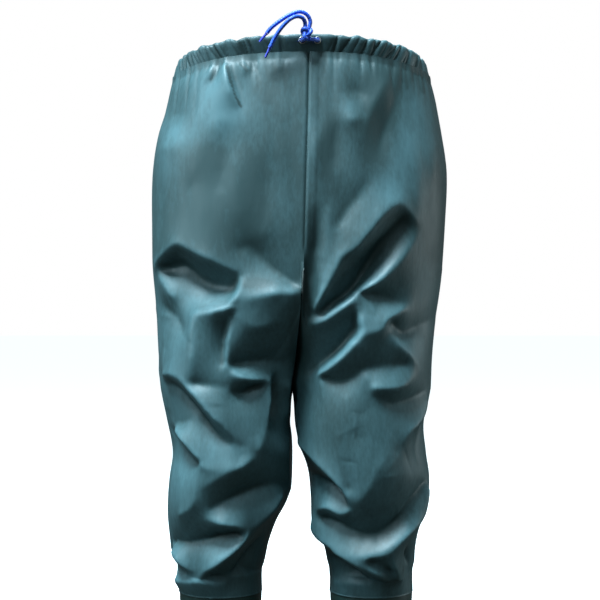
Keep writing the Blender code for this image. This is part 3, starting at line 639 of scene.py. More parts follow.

# %% [markdown]
# ## Creases
# Coated cloth is stiff: it buckles into flat facets that meet along sharp ridges and soft troughs. Noise
# can't make that, so the folds that the picture shows are listed one by one. Each row says how far a
# crease stands out (or, if negative, sinks in), what share of that it keeps at its two ends, and where it
# runs: across and up, in millimetres, as seen from the camera on the plane of the leg axes. A row of
# height 0 holds the cloth down beside a sharp fold. The last rows lie on the outer side of both legs.

# %% Table of creases
Crease = namedtuple("Crease", "leg height ends places")
CREASES = (
    # Gathers that run far down from the waist
    Crease("left", 9, (0.6, 0.0), ((-124, 1198), (-117, 1165), (-110, 1141), (-99, 1116))),
    Crease("left", 0, (1.0, 1.0), ((-116, 1198), (-109, 1165), (-102, 1141), (-91, 1117))),
    Crease("left", 5, (0.6, 0.0), ((-144, 1190), (-148, 1178), (-155, 1160))),
    Crease("left", 0, (1.0, 1.0), ((-137, 1190), (-141, 1178), (-148, 1160))),
    Crease("left", 5, (0.6, 0.0), ((-98, 1202), (-92, 1190), (-84, 1176))),
    Crease("left", 0, (1.0, 1.0), ((-91, 1202), (-85, 1190), (-77, 1176))),
    # Shallow dents in the body
    Crease("left", 2, (0.3, 0.3), ((-107, 1040), (-104, 960), (-106, 895))),
    Crease("left", -3, (0.3, 0.3), ((-60, 1040), (-57, 970), (-60, 905))),
    Crease("left", 2, (0.3, 0.3), ((-178, 1075), (-174, 1030), (-176, 985))),
    Crease("left", -2, (0.3, 0.3), ((-132, 1070), (-129, 1030), (-134, 985))),
    Crease("left", -2, (0.4, 0.3), ((-232, 1106), (-212, 1112), (-188, 1110))),
    Crease("left", 3, (0.4, 0.3), ((-238, 1046), (-214, 1054), (-190, 1052))),
    Crease("left", 3, (0.3, 0.3), ((-150, 1104), (-128, 1100), (-106, 1092))),
    Crease("right", -4, (0.4, 0.3), ((173, 1167), (155, 1117), (138, 1067), (127, 1025))),
    Crease("right", 2, (0.4, 0.3), ((142, 1165), (119, 1117), (101, 1067))),
    Crease("right", 3, (0.3, 0.4), ((215, 1105), (222, 1040), (216, 965))),
    Crease("right", 2, (0.3, 0.3), ((30, 1090), (27, 1050), (29, 1010))),
    Crease("right", -3, (0.3, 0.3), ((62, 1092), (58, 1050), (61, 1008))),
    Crease("right", 3, (0.3, 0.3), ((70, 1104), (90, 1100), (110, 1112))),
    Crease("right", -2, (0.3, 0.3), ((74, 1146), (92, 1150), (111, 1140))),
    Crease("right", -3, (0.3, 0.3), ((62, 925), (88, 962), (122, 1003))),
    # Left thigh
    Crease("left", 11, (0.5, 0.1),
           ((-236, 852), (-222, 871), (-207, 886), (-195, 895), (-176, 884), (-150, 869), (-103, 845))),
    Crease("left", -13, (0.6, 0.2),
           ((-230, 855), (-203, 860), (-190, 851), (-173, 837), (-147, 828), (-114, 826), (-100, 838))),
    Crease("left", -12, (0.6, 0.3),
           ((-226, 845), (-203, 849), (-190, 840), (-173, 826), (-147, 817), (-116, 815), (-103, 824))),
    Crease("left", 9, (0.8, 0.2), ((-173, 776), (-147, 778), (-131, 783), (-112, 789), (-97, 840))),
    Crease("left", 3, (0.5, 1.0), ((-233, 847), (-222, 825), (-210, 803))),
    Crease("left", -5, (0.6, 0.3), ((-230, 790), (-212, 773), (-192, 745))),
    Crease("left", -6, (0.2, 0.6), ((-105, 883), (-82, 888), (-58, 863), (-3, 822))),
    Crease("left", 8, (0.7, 0.6), ((-112, 792), (-97, 798), (-65, 807), (-37, 813), (-3, 815))),
    Crease("left", 6, (0.9, 0.5), ((-110, 777), (-92, 765), (-73, 755), (-50, 762), (-25, 770))),
    Crease("left", -10, (0.7, 0.6), ((-115, 695), (-97, 692), (-72, 694), (-20, 692))),
    Crease("left", 5, (0.4, 0.6), ((-117, 683), (-103, 673), (-80, 668), (-55, 665))),
    Crease("left", -8, (0.6, 0.3), ((-110, 648), (-97, 642), (-81, 650), (-60, 660))),
    Crease("left", -2, (0.2, 0.6), ((-179, 661), (-148, 657), (-113, 652))),
    Crease("left", 8, (0.9, 0.5), ((-173, 775), (-175, 742), (-172, 708), (-183, 662))),
    Crease("left", -6, (0.3, 0.6), ((-122, 765), (-127, 738), (-130, 710), (-126, 690))),
    Crease("left", 2, (1.0, 1.0),
           ((-111, 780), (-116, 763), (-121, 740), (-123, 714), (-122, 693), (-116, 683))),
    # Left knee and calf
    Crease("left", 7, (0.7, 0.1),
           ((-227, 673), (-212, 675), (-193, 665), (-174, 643), (-150, 612), (-122, 581), (-95, 553))),
    Crease("left", -8, (0.6, 0.2),
           ((-230, 663), (-212, 658), (-189, 633), (-165, 606), (-138, 576), (-117, 560))),
    Crease("left", -5, (0.7, 0.9), ((-217, 592), (-195, 596), (-172, 605))),
    Crease("left", 7, (0.1, 1.0), ((-94, 545), (-111, 523), (-129, 517), (-156, 522), (-163, 533))),
    Crease("left", 7, (0.3, 1.0), ((-210, 588), (-189, 567), (-174, 548), (-163, 535))),
    Crease("left", -7, (0.5, 0.3), ((-222, 590), (-210, 567), (-195, 546), (-178, 532), (-166, 529))),
    Crease("left", 7, (0.5, 1.0), ((-50, 673), (-53, 640), (-60, 600), (-73, 547))),
    Crease("left", -9, (0.5, 0.3), ((-44, 670), (-44, 640), (-52, 600))),
    Crease("left", 9, (0.6, 0.3), ((-24, 665), (-24, 635), (-31, 600))),
    Crease("left", 7, (0.5, 0.6), ((-73, 542), (-100, 523), (-130, 507), (-168, 482))),
    Crease("left", -11, (0.5, 0.1), ((-15, 493), (-56, 485), (-92, 473), (-129, 461), (-152, 451))),
    Crease("left", 9, (0.1, 0.9), ((-155, 436), (-129, 431), (-108, 428), (-93, 418))),
    Crease("left", 7, (1.0, 0.4), ((-92, 418), (-63, 442), (-28, 478))),
    Crease("left", -12, (0.7, 0.2), ((-219, 395), (-190, 390), (-153, 394), (-123, 403), (-100, 413))),
    Crease("left", 13, (0.8, 0.5), ((-91, 418), (-105, 404), (-127, 383), (-152, 359), (-167, 341))),
    Crease("left", 9, (0.5, 0.7), ((-214, 388), (-194, 373), (-172, 352))),
    Crease("left", 9, (0.9, 0.3), ((-203, 333), (-180, 331), (-150, 329), (-122, 327))),
    Crease("left", 0, (1.0, 1.0), ((-201, 354), (-192, 349), (-184, 346))),
    Crease("left", 0, (1.0, 1.0), ((-150, 346), (-130, 343), (-112, 340))),
    Crease("left", -10, (0.6, 0.2), ((-63, 400), (-92, 363), (-120, 342))),
    Crease("left", 5, (0.8, 0.6), ((-164, 530), (-166, 508), (-171, 479), (-178, 456), (-200, 442))),
    # Right thigh
    Crease("right", 9, (0.5, 0.5),
           ((190, 928), (177, 946), (162, 961), (140, 946), (113, 914), (91, 886), (70, 875), (51, 837),
            (33, 800), (22, 780))),
    Crease("right", -13, (0.3, 0.5),
           ((176, 934), (160, 916), (141, 893), (126, 870), (110, 849), (90, 818), (52, 791), (31, 773))),
    Crease("right", 7, (0.4, 0.8), ((192, 924), (187, 905), (174, 884), (157, 862), (128, 832), (90, 809))),
    Crease("right", 5, (1.0, 0.6), ((87, 804), (73, 791), (52, 776), (28, 761), (20, 767))),
    Crease("right", -3, (0.1, 0.1), ((95, 813), (130, 808), (173, 795))),
    Crease("right", 7, (0.5, 0.9), ((175, 787), (155, 774), (140, 762), (134, 750), (114, 746), (101, 741))),
    Crease("right", -5, (0.5, 0.4), ((150, 765), (175, 745), (205, 757), (230, 772))),
    Crease("right", 3, (0.8, 0.4), ((140, 748), (162, 727), (185, 702), (205, 680))),
    Crease("right", -11, (0.5, 0.5), ((92, 777), (93, 753), (81, 737), (61, 717), (35, 697), (11, 678))),
    Crease("right", 6, (0.7, 0.8), ((98, 775), (101, 745), (83, 722), (58, 695), (30, 673))),
    Crease("right", -6, (0.5, 0.4),
           ((37, 673), (52, 665), (73, 665), (92, 674), (107, 686), (143, 690), (180, 694))),
    Crease("right", -7, (0.1, 0.9), ((30, 960), (28, 910), (25, 870), (21, 835), (17, 800), (14, 765))),
    Crease("right", 2, (0.2, 0.5), ((48, 950), (46, 905), (40, 870))),
    # Right knee and calf
    Crease("right", 4, (0.6, 0.5), ((120, 653), (150, 652), (175, 660), (188, 680))),
    Crease("right", -4, (0.3, 0.1), ((122, 642), (153, 627), (183, 633), (210, 648))),
    Crease("right", 3, (0.7, 0.1), ((36, 668), (46, 625), (60, 573), (74, 520), (84, 480))),
    Crease("right", 2, (0.1, 0.1), ((76, 640), (86, 605), (97, 567))),
    Crease("right", -2, (0.8, 0.2), ((110, 675), (113, 648), (120, 595))),
    Crease("right", 7, (0.5, 0.3), ((209, 638), (197, 607), (179, 582), (169, 557))),
    Crease("right", -4, (0.5, 0.5), ((205, 600), (197, 550), (208, 517))),
    Crease("right", 4, (0.2, 0.6), ((162, 550), (142, 538), (127, 514), (113, 483), (88, 456))),
    Crease("right", 8, (0.7, 0.4), ((3, 565), (30, 537), (58, 506), (76, 479), (86, 458))),
    Crease("right", -9, (0.8, 0.2), ((5, 512), (34, 497), (60, 485), (82, 456))),
    Crease("right", 6, (0.6, 0.4), ((31, 449), (46, 456), (58, 452), (70, 444), (84, 450))),
    Crease("right", -7, (0.8, 0.5),
           ((34, 437), (61, 428), (85, 413), (112, 404), (136, 407), (164, 428), (188, 462), (211, 496))),
    Crease("right", 12, (0.8, 0.4),
           ((29, 430), (39, 414), (61, 399), (91, 387), (118, 385), (139, 392), (164, 413), (188, 437),
            (200, 457), (210, 492))),
    Crease("right", 15, (0.8, 0.5), ((66, 392), (96, 376), (130, 355), (162, 331))),
    Crease("right", -6, (0.6, 0.0), ((53, 375), (83, 353), (120, 333))),
    Crease("right", 8, (0.8, 0.6), ((116, 377), (132, 369), (146, 358))),
    Crease("right", 14, (0.8, 0.5), ((141, 387), (150, 361), (164, 331))),
    Crease("right", -4, (0.6, 0.3), ((170, 385), (183, 358))),
    Crease("right", 3, (0.8, 0.5), ((55, 332), (90, 328), (130, 328))),
    # Outer side of both legs, behind what the camera sees: back and up, as seen from that side
    Crease("side", 4, (0.2, 0.4), ((66, 850), (98, 826), (138, 820))),
    Crease("side", -5, (0.2, 0.4), ((64, 812), (96, 790), (134, 788))),
    Crease("side", 4, (0.3, 0.3), ((60, 742), (88, 726), (124, 744))),
    Crease("side", -5, (0.3, 0.3), ((62, 716), (92, 694), (120, 700))),
    Crease("side", 5, (0.3, 0.3), ((64, 668), (88, 636), (112, 590))),
    Crease("side", -5, (0.3, 0.3), ((62, 630), (82, 600), (102, 560))),
    Crease("side", 4, (0.3, 0.3), ((60, 560), (84, 530), (110, 525))),
    Crease("side", -5, (0.3, 0.3), ((60, 524), (86, 500), (108, 492))),
    Crease("side", 5, (0.3, 0.3), ((58, 474), (82, 448), (104, 452))),
    Crease("side", -6, (0.3, 0.3), ((60, 430), (82, 412), (102, 420))),
)
print(len(CREASES), "creases laid out by hand")

# %% [markdown]
# ## The creases on the grids
# A crease is drawn as a smooth line through its places, and each point of the line has to find the grid
# point that the camera sees there. A search tree of the points that face the camera does that. The back
# of each leg takes the other leg's creases, narrower and calmer, as seen from behind.

# %% Smooth lines
# Points of a crease's line are about this far apart, in millimetres
PIN_SPACING = 1.5
BACK_SHARE = 0.8
BACK_NARROWING = 0.75
LEG_MIDDLE = {"left": -125, "right": 118}


def behind(crease):
    """The same crease on the back of the other leg, as a fold that was made in one go tends to be."""
    other = "left" if crease.leg == "right" else "right"
    middle = LEG_MIDDLE[other]
    places = tuple((middle + BACK_NARROWING * (-x - middle), z) for x, z in crease.places)
    return Crease(other, crease.height * BACK_SHARE, crease.ends, places)


def curve(a, b, c, d, s):
    """The smooth curve from b to c, at shares s of the way, with a before and d after them."""
    return (2 * b + (c - a) * s + (2 * a - 5 * b + 4 * c - d) * s ** 2 + (3 * b - a - 3 * c + d) * s ** 3) / 2


def smooth_line(places, spacing, whole=round):
    """Points about a spacing apart on a smooth curve through places; whole rounds the steps of a stretch."""
    places = np.array(places, float)
    padded = np.vstack([2 * places[0] - places[1], places, 2 * places[-1] - places[-2]])
    line = [places[:1]]
    for a, b, c, d in zip(padded, padded[1:], padded[2:], padded[3:]):
        steps = max(2, whole(np.linalg.norm(c - b) / spacing))
        line.append(curve(a, b, c, d, (np.arange(1, steps + 1) / steps)[:, None]))
    return np.vstack(line)


print("the first crease's line has", len(smooth_line(CREASES[0].places, PIN_SPACING, whole=int)), "points")


# %% Search trees
def seen_places(points, facing):
    """Where points show on the plane of the leg axes, in millimetres, from in front (1) or behind (-1)."""
    nearer = EYE_DISTANCE + facing * (points[..., 1] - LEG_AXIS_Y)
    shown = points[..., [0, 2]] - np.array([0.0, EYE_HEIGHT])
    return (shown * EYE_DISTANCE / nearer[..., None] + np.array([0.0, EYE_HEIGHT])) * MM_PER_M


def search_tree(shown, faces_eye):
    """A search tree of the grid points that face an eye, at the places where it sees them."""
    shown = shown.reshape(-1, 2)
    tree = KDTree(int(faces_eye.sum()))
    for number in np.flatnonzero(faces_eye):
        tree.insert((*shown[number], 0.0), int(number))
    tree.balance()
    return tree


# %% [markdown]
# The nearest grid points are pinned at the crease's height. Near its two ends the pins give way, so that
# a crease runs out softly instead of ending in a dent.

# %% Pins along a crease
PIN_GRIP = 40.0
PIN_END_GRIP = 0.4
PIN_END_REACH = 14.0
# A place further than this from the leg, in millimetres, is off its edge
PIN_REACH = 5.0
# A crease has its full height between these shares of its way
FULL_FROM = 0.35
FULL_TO = 0.65


def pin_crease(crease, tree, heights, grip):
    """Holds a crease's heights at the grid points nearest to its line, less firmly near its ends."""
    line = smooth_line(crease.places, PIN_SPACING, whole=int)
    way = way_along(line)
    along = np.linspace(0.0, 1.0, len(line))
    fade = np.interp(along, (0.0, FULL_FROM, FULL_TO, 1.0), (crease.ends[0], 1.0, 1.0, crease.ends[1]))
    firm = smoothstep(np.minimum(way, way[-1] - way) / PIN_END_REACH)
    grips = PIN_END_GRIP + (PIN_GRIP - PIN_END_GRIP) * firm
    for place, share, hold in zip(line, fade, grips):
        _, number, away = tree.find((*place, 0.0))
        if away > PIN_REACH:
            continue
        heights.flat[number] = crease.height * share
        grip.flat[number] = hold


# %% Pins on both legs
# How far a point may turn away from the eye, and how far it has to face outwards, to take creases seen there
FACING_LIMIT = 0.05
SIDE_LIMIT = 0.2


def pin_creases(leg):
    """The pinned heights of one leg's grid, in millimetres, and how firmly each is held."""
    heights, grip = np.zeros((2, ROWS, AROUND))
    front, back = (search_tree(seen_places(PLAIN[leg], facing), OUT[leg][..., 1] * facing < FACING_LIMIT)
                   for facing in (1, -1))
    outer = search_tree(PLAIN[leg][..., 1:] * MM_PER_M, OUT[leg][..., 0] * SIDES[leg] > SIDE_LIMIT)
    for crease in CREASES:
        if crease.leg == leg:
            pin_crease(crease, front, heights, grip)
        elif crease.leg == "side":
            pin_crease(crease, outer, heights, grip)
        else:
            pin_crease(behind(crease), back, heights, grip)
    return heights, grip


PINNED = {leg: pin_creases(leg) for leg in SIDES}
print("pinned points:", {leg: int((grip > 0).sum()) for leg, (_, grip) in PINNED.items()})

# %% [markdown]
# A taut skin is then stretched over the pins: every free point moves to the mean of its neighbours, again
# and again, which leaves flat facets between the creases. Moving each point a little too far every time
# gets there sooner. The waist's edge, the leg's end and the seams stay still.

# %% Taut skin
SKIN_SWEEPS = 560
OVER_RELAX = 1.88
SKIN_HOLD = 0.0012


def stretch_skin(pinned, grip, still):
    """Stretches a taut skin over the pinned heights, so that flat facets span from crease to crease."""
    heights = np.where(still, 0.0, pinned)
    checker = np.indices(heights.shape).sum(axis=0) % 2 == 0
    free = [cells & ~still for cells in (checker, ~checker)]
    for _ in range(SKIN_SWEEPS):
        for cells in free:
            around = np.roll(heights, 1, axis=1) + np.roll(heights, -1, axis=1)
            around[1:-1] += heights[:-2] + heights[2:]
            moved = heights + OVER_RELAX * ((around + grip * pinned) / (4 + SKIN_HOLD + grip) - heights)
            heights = np.where(cells, moved, heights)
    return heights


STILL = np.zeros((ROWS, AROUND), bool)
STILL[[0, ROWS - 1]] = True
STILL[:FORK_ROW + 1, OUTER:] = True
STILL[:FORK_ROW + 1, 0] = True
SKIN = {leg: stretch_skin(heights, grip, STILL) for leg, (heights, grip) in PINNED.items()}
print("skin from", *(round(float(end(SKIN["left"])), 1) for end in (np.min, np.max)), "mm on the left leg")

# %% [markdown]
# Besides its large folds, the cloth has many small crinkles at all angles. They have no pattern worth
# copying, so a seeded generator scatters them: each has its own place on the grid, direction, length and
# width.

# %% Crinkles
Crinkle = namedtuple("Crinkle", "row column height turn half_length half_width")
CRINKLES = 150
CRINKLE_ROUNDNESS = 0.05
# About the way from one grid point to the next
CELL = 0.0024
chance = np.random.default_rng(12)


def crinkles():
    """The sum of many small creases that run at random, in metres."""
    rows, columns = np.indices((ROWS, AROUND))
    total = np.zeros((ROWS, AROUND))
    for _ in range(CRINKLES):
        one = Crinkle(
            row=chance.uniform(FORK_ROW, ROWS),
            column=chance.uniform(0, AROUND),
            height=chance.choice((-1, 1)) * chance.uniform(0.0003, 0.0011),
            turn=chance.uniform(-0.5, 0.5) * math.pi,
            half_length=chance.uniform(0.010, 0.030),
            half_width=chance.uniform(0.003, 0.007),
        )
        up = (rows - one.row) * CELL
        across = ((columns - one.column + AROUND / 2) % AROUND - AROUND / 2) * CELL
        along = (across * math.cos(one.turn) + up * math.sin(one.turn)) / one.half_length
        aside = (up * math.cos(one.turn) - across * math.sin(one.turn)) / one.half_width
        total += one.height * np.exp(-along ** 2 - np.sqrt(aside ** 2 + CRINKLE_ROUNDNESS))
    return total


print(CRINKLES, "crinkles on each leg")

# %% [markdown]
# The skin is rounded a little and scaled, and the crinkles are added. Near the leg's end the folds stand
# out over the boot like a bell, at the front and the back; the boot's shaft keeps them from sinking in
# there.

# %% Heights of the folds
CREASE_SCALE = 1.75
ROUNDING = 3
CUFF_TOP = 0.352
BELL = 0.005
BELL_HEIGHT = 0.388
BELL_REACH = 0.032


def soften(heights, passes):
    """Rounds the creases a little, by averaging neighbours."""
    for _ in range(passes):
        heights = (np.roll(heights, 1, axis=1) + 2 * heights + np.roll(heights, -1, axis=1)) / 4
        padded = np.pad(heights, ((1, 1), (0, 0)), mode="edge")
        heights = (padded[:-2] + 2 * heights + padded[2:]) / 4
    return heights


def crease_heights(leg):
    """How far one leg's folds stand out from its plain form, in metres."""
    heights = soften(SKIN[leg], ROUNDING)
    heights[:FORK_ROW + 1, OUTER:] = 0.0
    heights[:FORK_ROW + 1, 0] = 0.0
    height = PLAIN[leg][..., 2]
    bell = BELL * np.exp(-((height - BELL_HEIGHT) / BELL_REACH) ** 2) * OUT[leg][..., 1] ** 2
    heights = heights * CREASE_SCALE / MM_PER_M + bell + crinkles()
    return np.maximum(heights, -np.maximum(height - CUFF_TOP, 0.0))


HEIGHTS = {leg: crease_heights(leg) for leg in SIDES}
for leg, heights in HEIGHTS.items():
    lowest, highest = heights.min() * MM_PER_M, heights.max() * MM_PER_M
    print(leg, "folds from", round(lowest, 1), "to", round(highest, 1), "mm")

# %% [markdown]
# ## Gathers at the waist
# The drawstring pulls the waist in, so the cloth stands in small pleats. They are sharp in the casing and
# die out below it, and most of them run towards the middle as they go down. The deepest ones, the tucks,
# are listed one by one; a seeded generator spaces the others unevenly. The same pleats are used for the
# casing and for the top of the trousers, so that they run on from one to the other.

# %% Tucks
Tuck = namedtuple("Tuck", "leg across depth width lean lean_below reach")
TUCKS = (
    # in millimetres; a lean is the way to the right for each millimetre up
    Tuck("left", -195, 2.4, 1.8, -0.1, 0.0, 9),
    Tuck("left", -138, 3.0, 1.7, -0.6, 0.4, 14),
    Tuck("left", -130, 3.8, 1.8, -0.65, -0.2, 8),
    Tuck("left", -122, 1.8, 1.5, -0.5, -0.38, 45),
    Tuck("left", -95, 3.4, 1.8, -0.35, -0.7, 12),
    Tuck("left", -86, 2.8, 1.8, -0.3, -0.7, 14),
    Tuck("left", -30, 2.6, 2.4, -0.1, 0.0, 6),
    Tuck("right", 54, 2.6, 2.2, 0.3, 0.0, 5),
    Tuck("right", 101, 3.0, 1.8, 0.4, 0.0, 8),
    Tuck("right", 118, 3.4, 1.8, 0.6, 0.0, 9),
    Tuck("right", 143, 4.0, 1.8, 0.7, 0.0, 8),
    Tuck("right", 150, 2.4, 1.7, 0.5, -0.05, 30),
    Tuck("right", 178, 2.0, 1.6, 0.3, 0.0, 20),
    Tuck("right", 205, 3.0, 2.0, 0.2, 0.1, 15),
)
WAIST_HALF = {leg: even_turns(side)[1] for leg, side in SIDES.items()}


def waist_way(leg, side, across):
    """Way along the waist from the front seam to a place across the front, in metres."""
    front = PLAIN[leg][0, :OUTER // 2 + 1]
    seen = side * front[:, 0] * EYE_DISTANCE / (EYE_DISTANCE + front[:, 1] - LEG_AXIS_Y)
    return side * np.interp(side * across, seen, np.arange(len(front)) / OUTER * WAIST_HALF[leg])


print(len(TUCKS), "tucks; the waist is", round(sum(WAIST_HALF.values()), 3), "m round")

# %% Gathers between them
Gather = namedtuple("Gather", "place depth width lean lean_below reach")
FLAT_FRONT = 0.022
# The first pleat's way from the front seam, and the last one's least way from the back seam
GATHERS_FROM = FLAT_FRONT + 0.006
GATHERS_TO = 0.012
# Pleats near the front are shallower, and grow deeper over a stretch on each side
FRONT_SHARE = 0.55
DEEPER_FROM = 0.07
DEEPER_OVER = 0.06
GATHER_DEPTHS = (0.0016, 0.0028, 0.0042)
GATHER_WIDTHS = (0.0016, 0.0034)
GATHER_LEAN = 0.42
LEAN_SPREAD = (0.3, 1.7)
BELOW_LEAN = 0.35
GATHER_REACHES = (0.009, 0.016, 0.028, 0.060)
REACH_CHANCES = (0.3, 0.35, 0.25, 0.1)
GATHER_GAPS = (0.005, 0.008, 0.012, 0.018)


def lay_gathers():
    """Pleats on both sides of the front seam, each with its place in metres to the right of that seam."""
    gathers = []
    for tuck in TUCKS:
        place = waist_way(tuck.leg, SIDES[tuck.leg], tuck.across / MM_PER_M)
        depth, width, reach = tuck.depth / MM_PER_M, tuck.width / MM_PER_M, tuck.reach / MM_PER_M
        gathers.append(Gather(place, depth, width, tuck.lean, tuck.lean_below, reach))
    for leg, side in SIDES.items():
        place = GATHERS_FROM
        while place < WAIST_HALF[leg] - GATHERS_TO:
            strength = smoothstep((place - DEEPER_FROM) / DEEPER_OVER)
            depth = chance.choice(GATHER_DEPTHS) * (FRONT_SHARE + (1 - FRONT_SHARE) * strength)
            width = chance.uniform(*GATHER_WIDTHS)
            lean = side * chance.uniform(*LEAN_SPREAD) * GATHER_LEAN
            reach = chance.choice(GATHER_REACHES, p=REACH_CHANCES)
            gathers.append(Gather(side * place, depth, width, lean, BELOW_LEAN * lean, reach))
            place += chance.choice(GATHER_GAPS)
    return gathers


GATHERS = lay_gathers()
print(len(GATHERS), "gathers")

# %% Depth of the gathers
# The cord inside the casing stops the deepest pleats
GATHER_LIMIT = 0.0040
# The seam holds the pleats flatter, and below it they are deeper again
SEWN_SHARE = 0.35
SEWN_REACH = 0.006
BELOW_SHARE = 1.6


def gather_depth(along, above):
    """How far the pleats sink in, by the way along the waist and the height above its seam."""
    depth = 0.0 * along * above
    for gather in GATHERS:
        lean = np.where(above > 0, gather.lean, gather.lean_below)
        way = np.abs(along - gather.place - lean * above) / gather.width
        share = np.where(above < 0, BELOW_SHARE * np.exp(above / gather.reach), 1.0)
        depth -= gather.depth * np.exp(-way) * share
    depth = GATHER_LIMIT * np.tanh(depth / GATHER_LIMIT)
    return depth * (SEWN_SHARE + (1 - SEWN_SHARE) * smoothstep(np.abs(above) / SEWN_REACH))


print("gathers up to", GATHER_LIMIT * MM_PER_M, "mm deep")

# %% [markdown]
# Below the gathers the cloth of the body hangs in slow upright waves. At the front and back seams it is
# sunk in along the stitches, and the right half lies over the left as a narrow tape. These are small
# heights, so they are added to the creases' heights before the grid is folded.

# %% Streaks and seams
Streak = namedtuple("Streak", "height across up phase")
STREAK_COUNT = 16
STREAKS = []
for _ in range(STREAK_COUNT):
    STREAKS.append(Streak(
        height=chance.uniform(0.00010, 0.00034),
        across=chance.uniform(0.030, 0.110),
        up=chance.uniform(0.15, 0.60),
        phase=chance.uniform(0.0, 2 * math.pi),
    ))
# Where the drawstring pinches the cloth, at the front and back and less at the sides
PINCH = 0.0040
SIDE_PINCH = 0.0030
PINCH_FADE = 0.013
STREAK_TOP = 1.160
STREAK_TOP_FADE = 0.06
STREAK_BOTTOM = FORK_HEIGHT
STREAK_BOTTOM_FADE = 0.10
SEAM_FADE = 0.035
SEAM_END_FADE = 0.03
SEAM_SINK = 0.0022
SEAM_TAPE = 0.0007
SEAM_TAPE_COLUMNS = 5


def streak_heights(along, height):
    """Slow upright waves in the cloth of the body."""
    waves = [s.height * np.cos(2 * math.pi * (along / s.across + height / s.up) + s.phase) for s in STREAKS]
    return sum(waves)


def waist_heights(leg, side):
    """What the drawstring, the hang of the cloth and the seams add to the body's columns."""
    share = np.arange(OUTER + 1) / OUTER
    along = side * share * WAIST_HALF[leg]
    height = np.linspace(WAIST_HEIGHT, FORK_HEIGHT, BODY_ROWS)[:, None]
    sideways = OUT[leg][0, :OUTER + 1, 0] ** 2
    added = -(PINCH - SIDE_PINCH * sideways) * np.exp((height - WAIST_HEIGHT) / PINCH_FADE)
    added += gather_depth(along[None, :], height - WAIST_HEIGHT)
    from_seam = np.minimum(share, 1 - share) * WAIST_HALF[leg]
    window = smoothstep((STREAK_TOP - height) / STREAK_TOP_FADE)
    window = window * smoothstep((height - STREAK_BOTTOM) / STREAK_BOTTOM_FADE)
    added += streak_heights(along[None, :], height) * window * smoothstep(from_seam / SEAM_FADE)
    seam_fade = smoothstep((height - FORK_HEIGHT) / SEAM_END_FADE)[:, 0]
    if side > 0:
        added[:, 1:SEAM_TAPE_COLUMNS + 1] += SEAM_TAPE * seam_fade[:, None]
        added[:, -SEAM_TAPE_COLUMNS - 1:-1] += SEAM_TAPE * seam_fade[:, None]
    added[:, 0] -= SEAM_SINK * seam_fade
    added[:, -1] -= SEAM_SINK * seam_fade
    return added


for leg, side in SIDES.items():
    HEIGHTS[leg][:BODY_ROWS, :OUTER + 1] += waist_heights(leg, side)
print(len(STREAKS), "streaks and two seams")

# %% [markdown]
# ## Folding the trousers
# Now the grids are folded: each point moves along its outward direction by its height. The two halves
# share one direction at their seams, so that they stay together there. The thighs press on each other, so
# their inner sides are kept plain, and each leg is held on its own side of where they meet.

# %% Folded grids
PLAIN_ABOVE = 0.70
PLAIN_FADE = 0.06
# The top row is tucked up into the casing
TUCK = 0.006
MEET_BOW = 0.004
MEET_BOW_LENGTH = 0.100
LEG_CLEARANCE = 0.0003

for column in (0, OUTER):
    mean = OUT["left"][:FORK_ROW + 1, column] + OUT["right"][:FORK_ROW + 1, column]
    mean[:, 0] = 0.0
    mean /= np.linalg.norm(mean, axis=1, keepdims=True)
    for leg in SIDES:
        OUT[leg][:FORK_ROW + 1, column] = mean

FOLDED = {}
for leg, side in SIDES.items():
    low = slice(BODY_ROWS, None)
    pressed = np.clip(-side * OUT[leg][low, :, 0], 0.0, 1.0)
    HEIGHTS[leg][low] *= 1 - pressed * smoothstep((PLAIN[leg][low, :, 2] - PLAIN_ABOVE) / PLAIN_FADE)
    folded = PLAIN[leg] + OUT[leg] * HEIGHTS[leg][..., None]
    folded[0, :, 2] += TUCK
    below = folded[FORK_ROW + 1:]
    bow = MEET_BOW * np.sin((below[..., 1] - LEG_AXIS_Y) / MEET_BOW_LENGTH * math.pi / 2)
    limit = read_table(THIGHS_MEET, "across", below[..., 2]) + bow + side * LEG_CLEARANCE
    keep = np.maximum if side > 0 else np.minimum
    below[..., 0] = keep(below[..., 0], limit)
    FOLDED[leg] = folded
    print(leg, "half reaches x =", round(float(side * (side * folded[..., 0]).max()), 4), "m")

# %% [markdown]
# ## Painted light and shade
# Light is painted on the cloth in soft pale patches, and shade in dark ones. Each patch is a place, a
# half width, a half height and a strength, given in millimetres. Dark lines are painted shadow where a
# tuck under the casing lies on the cloth.

# %% Patches and lines
Patch = namedtuple("Patch", "across height half_width half_height strength")
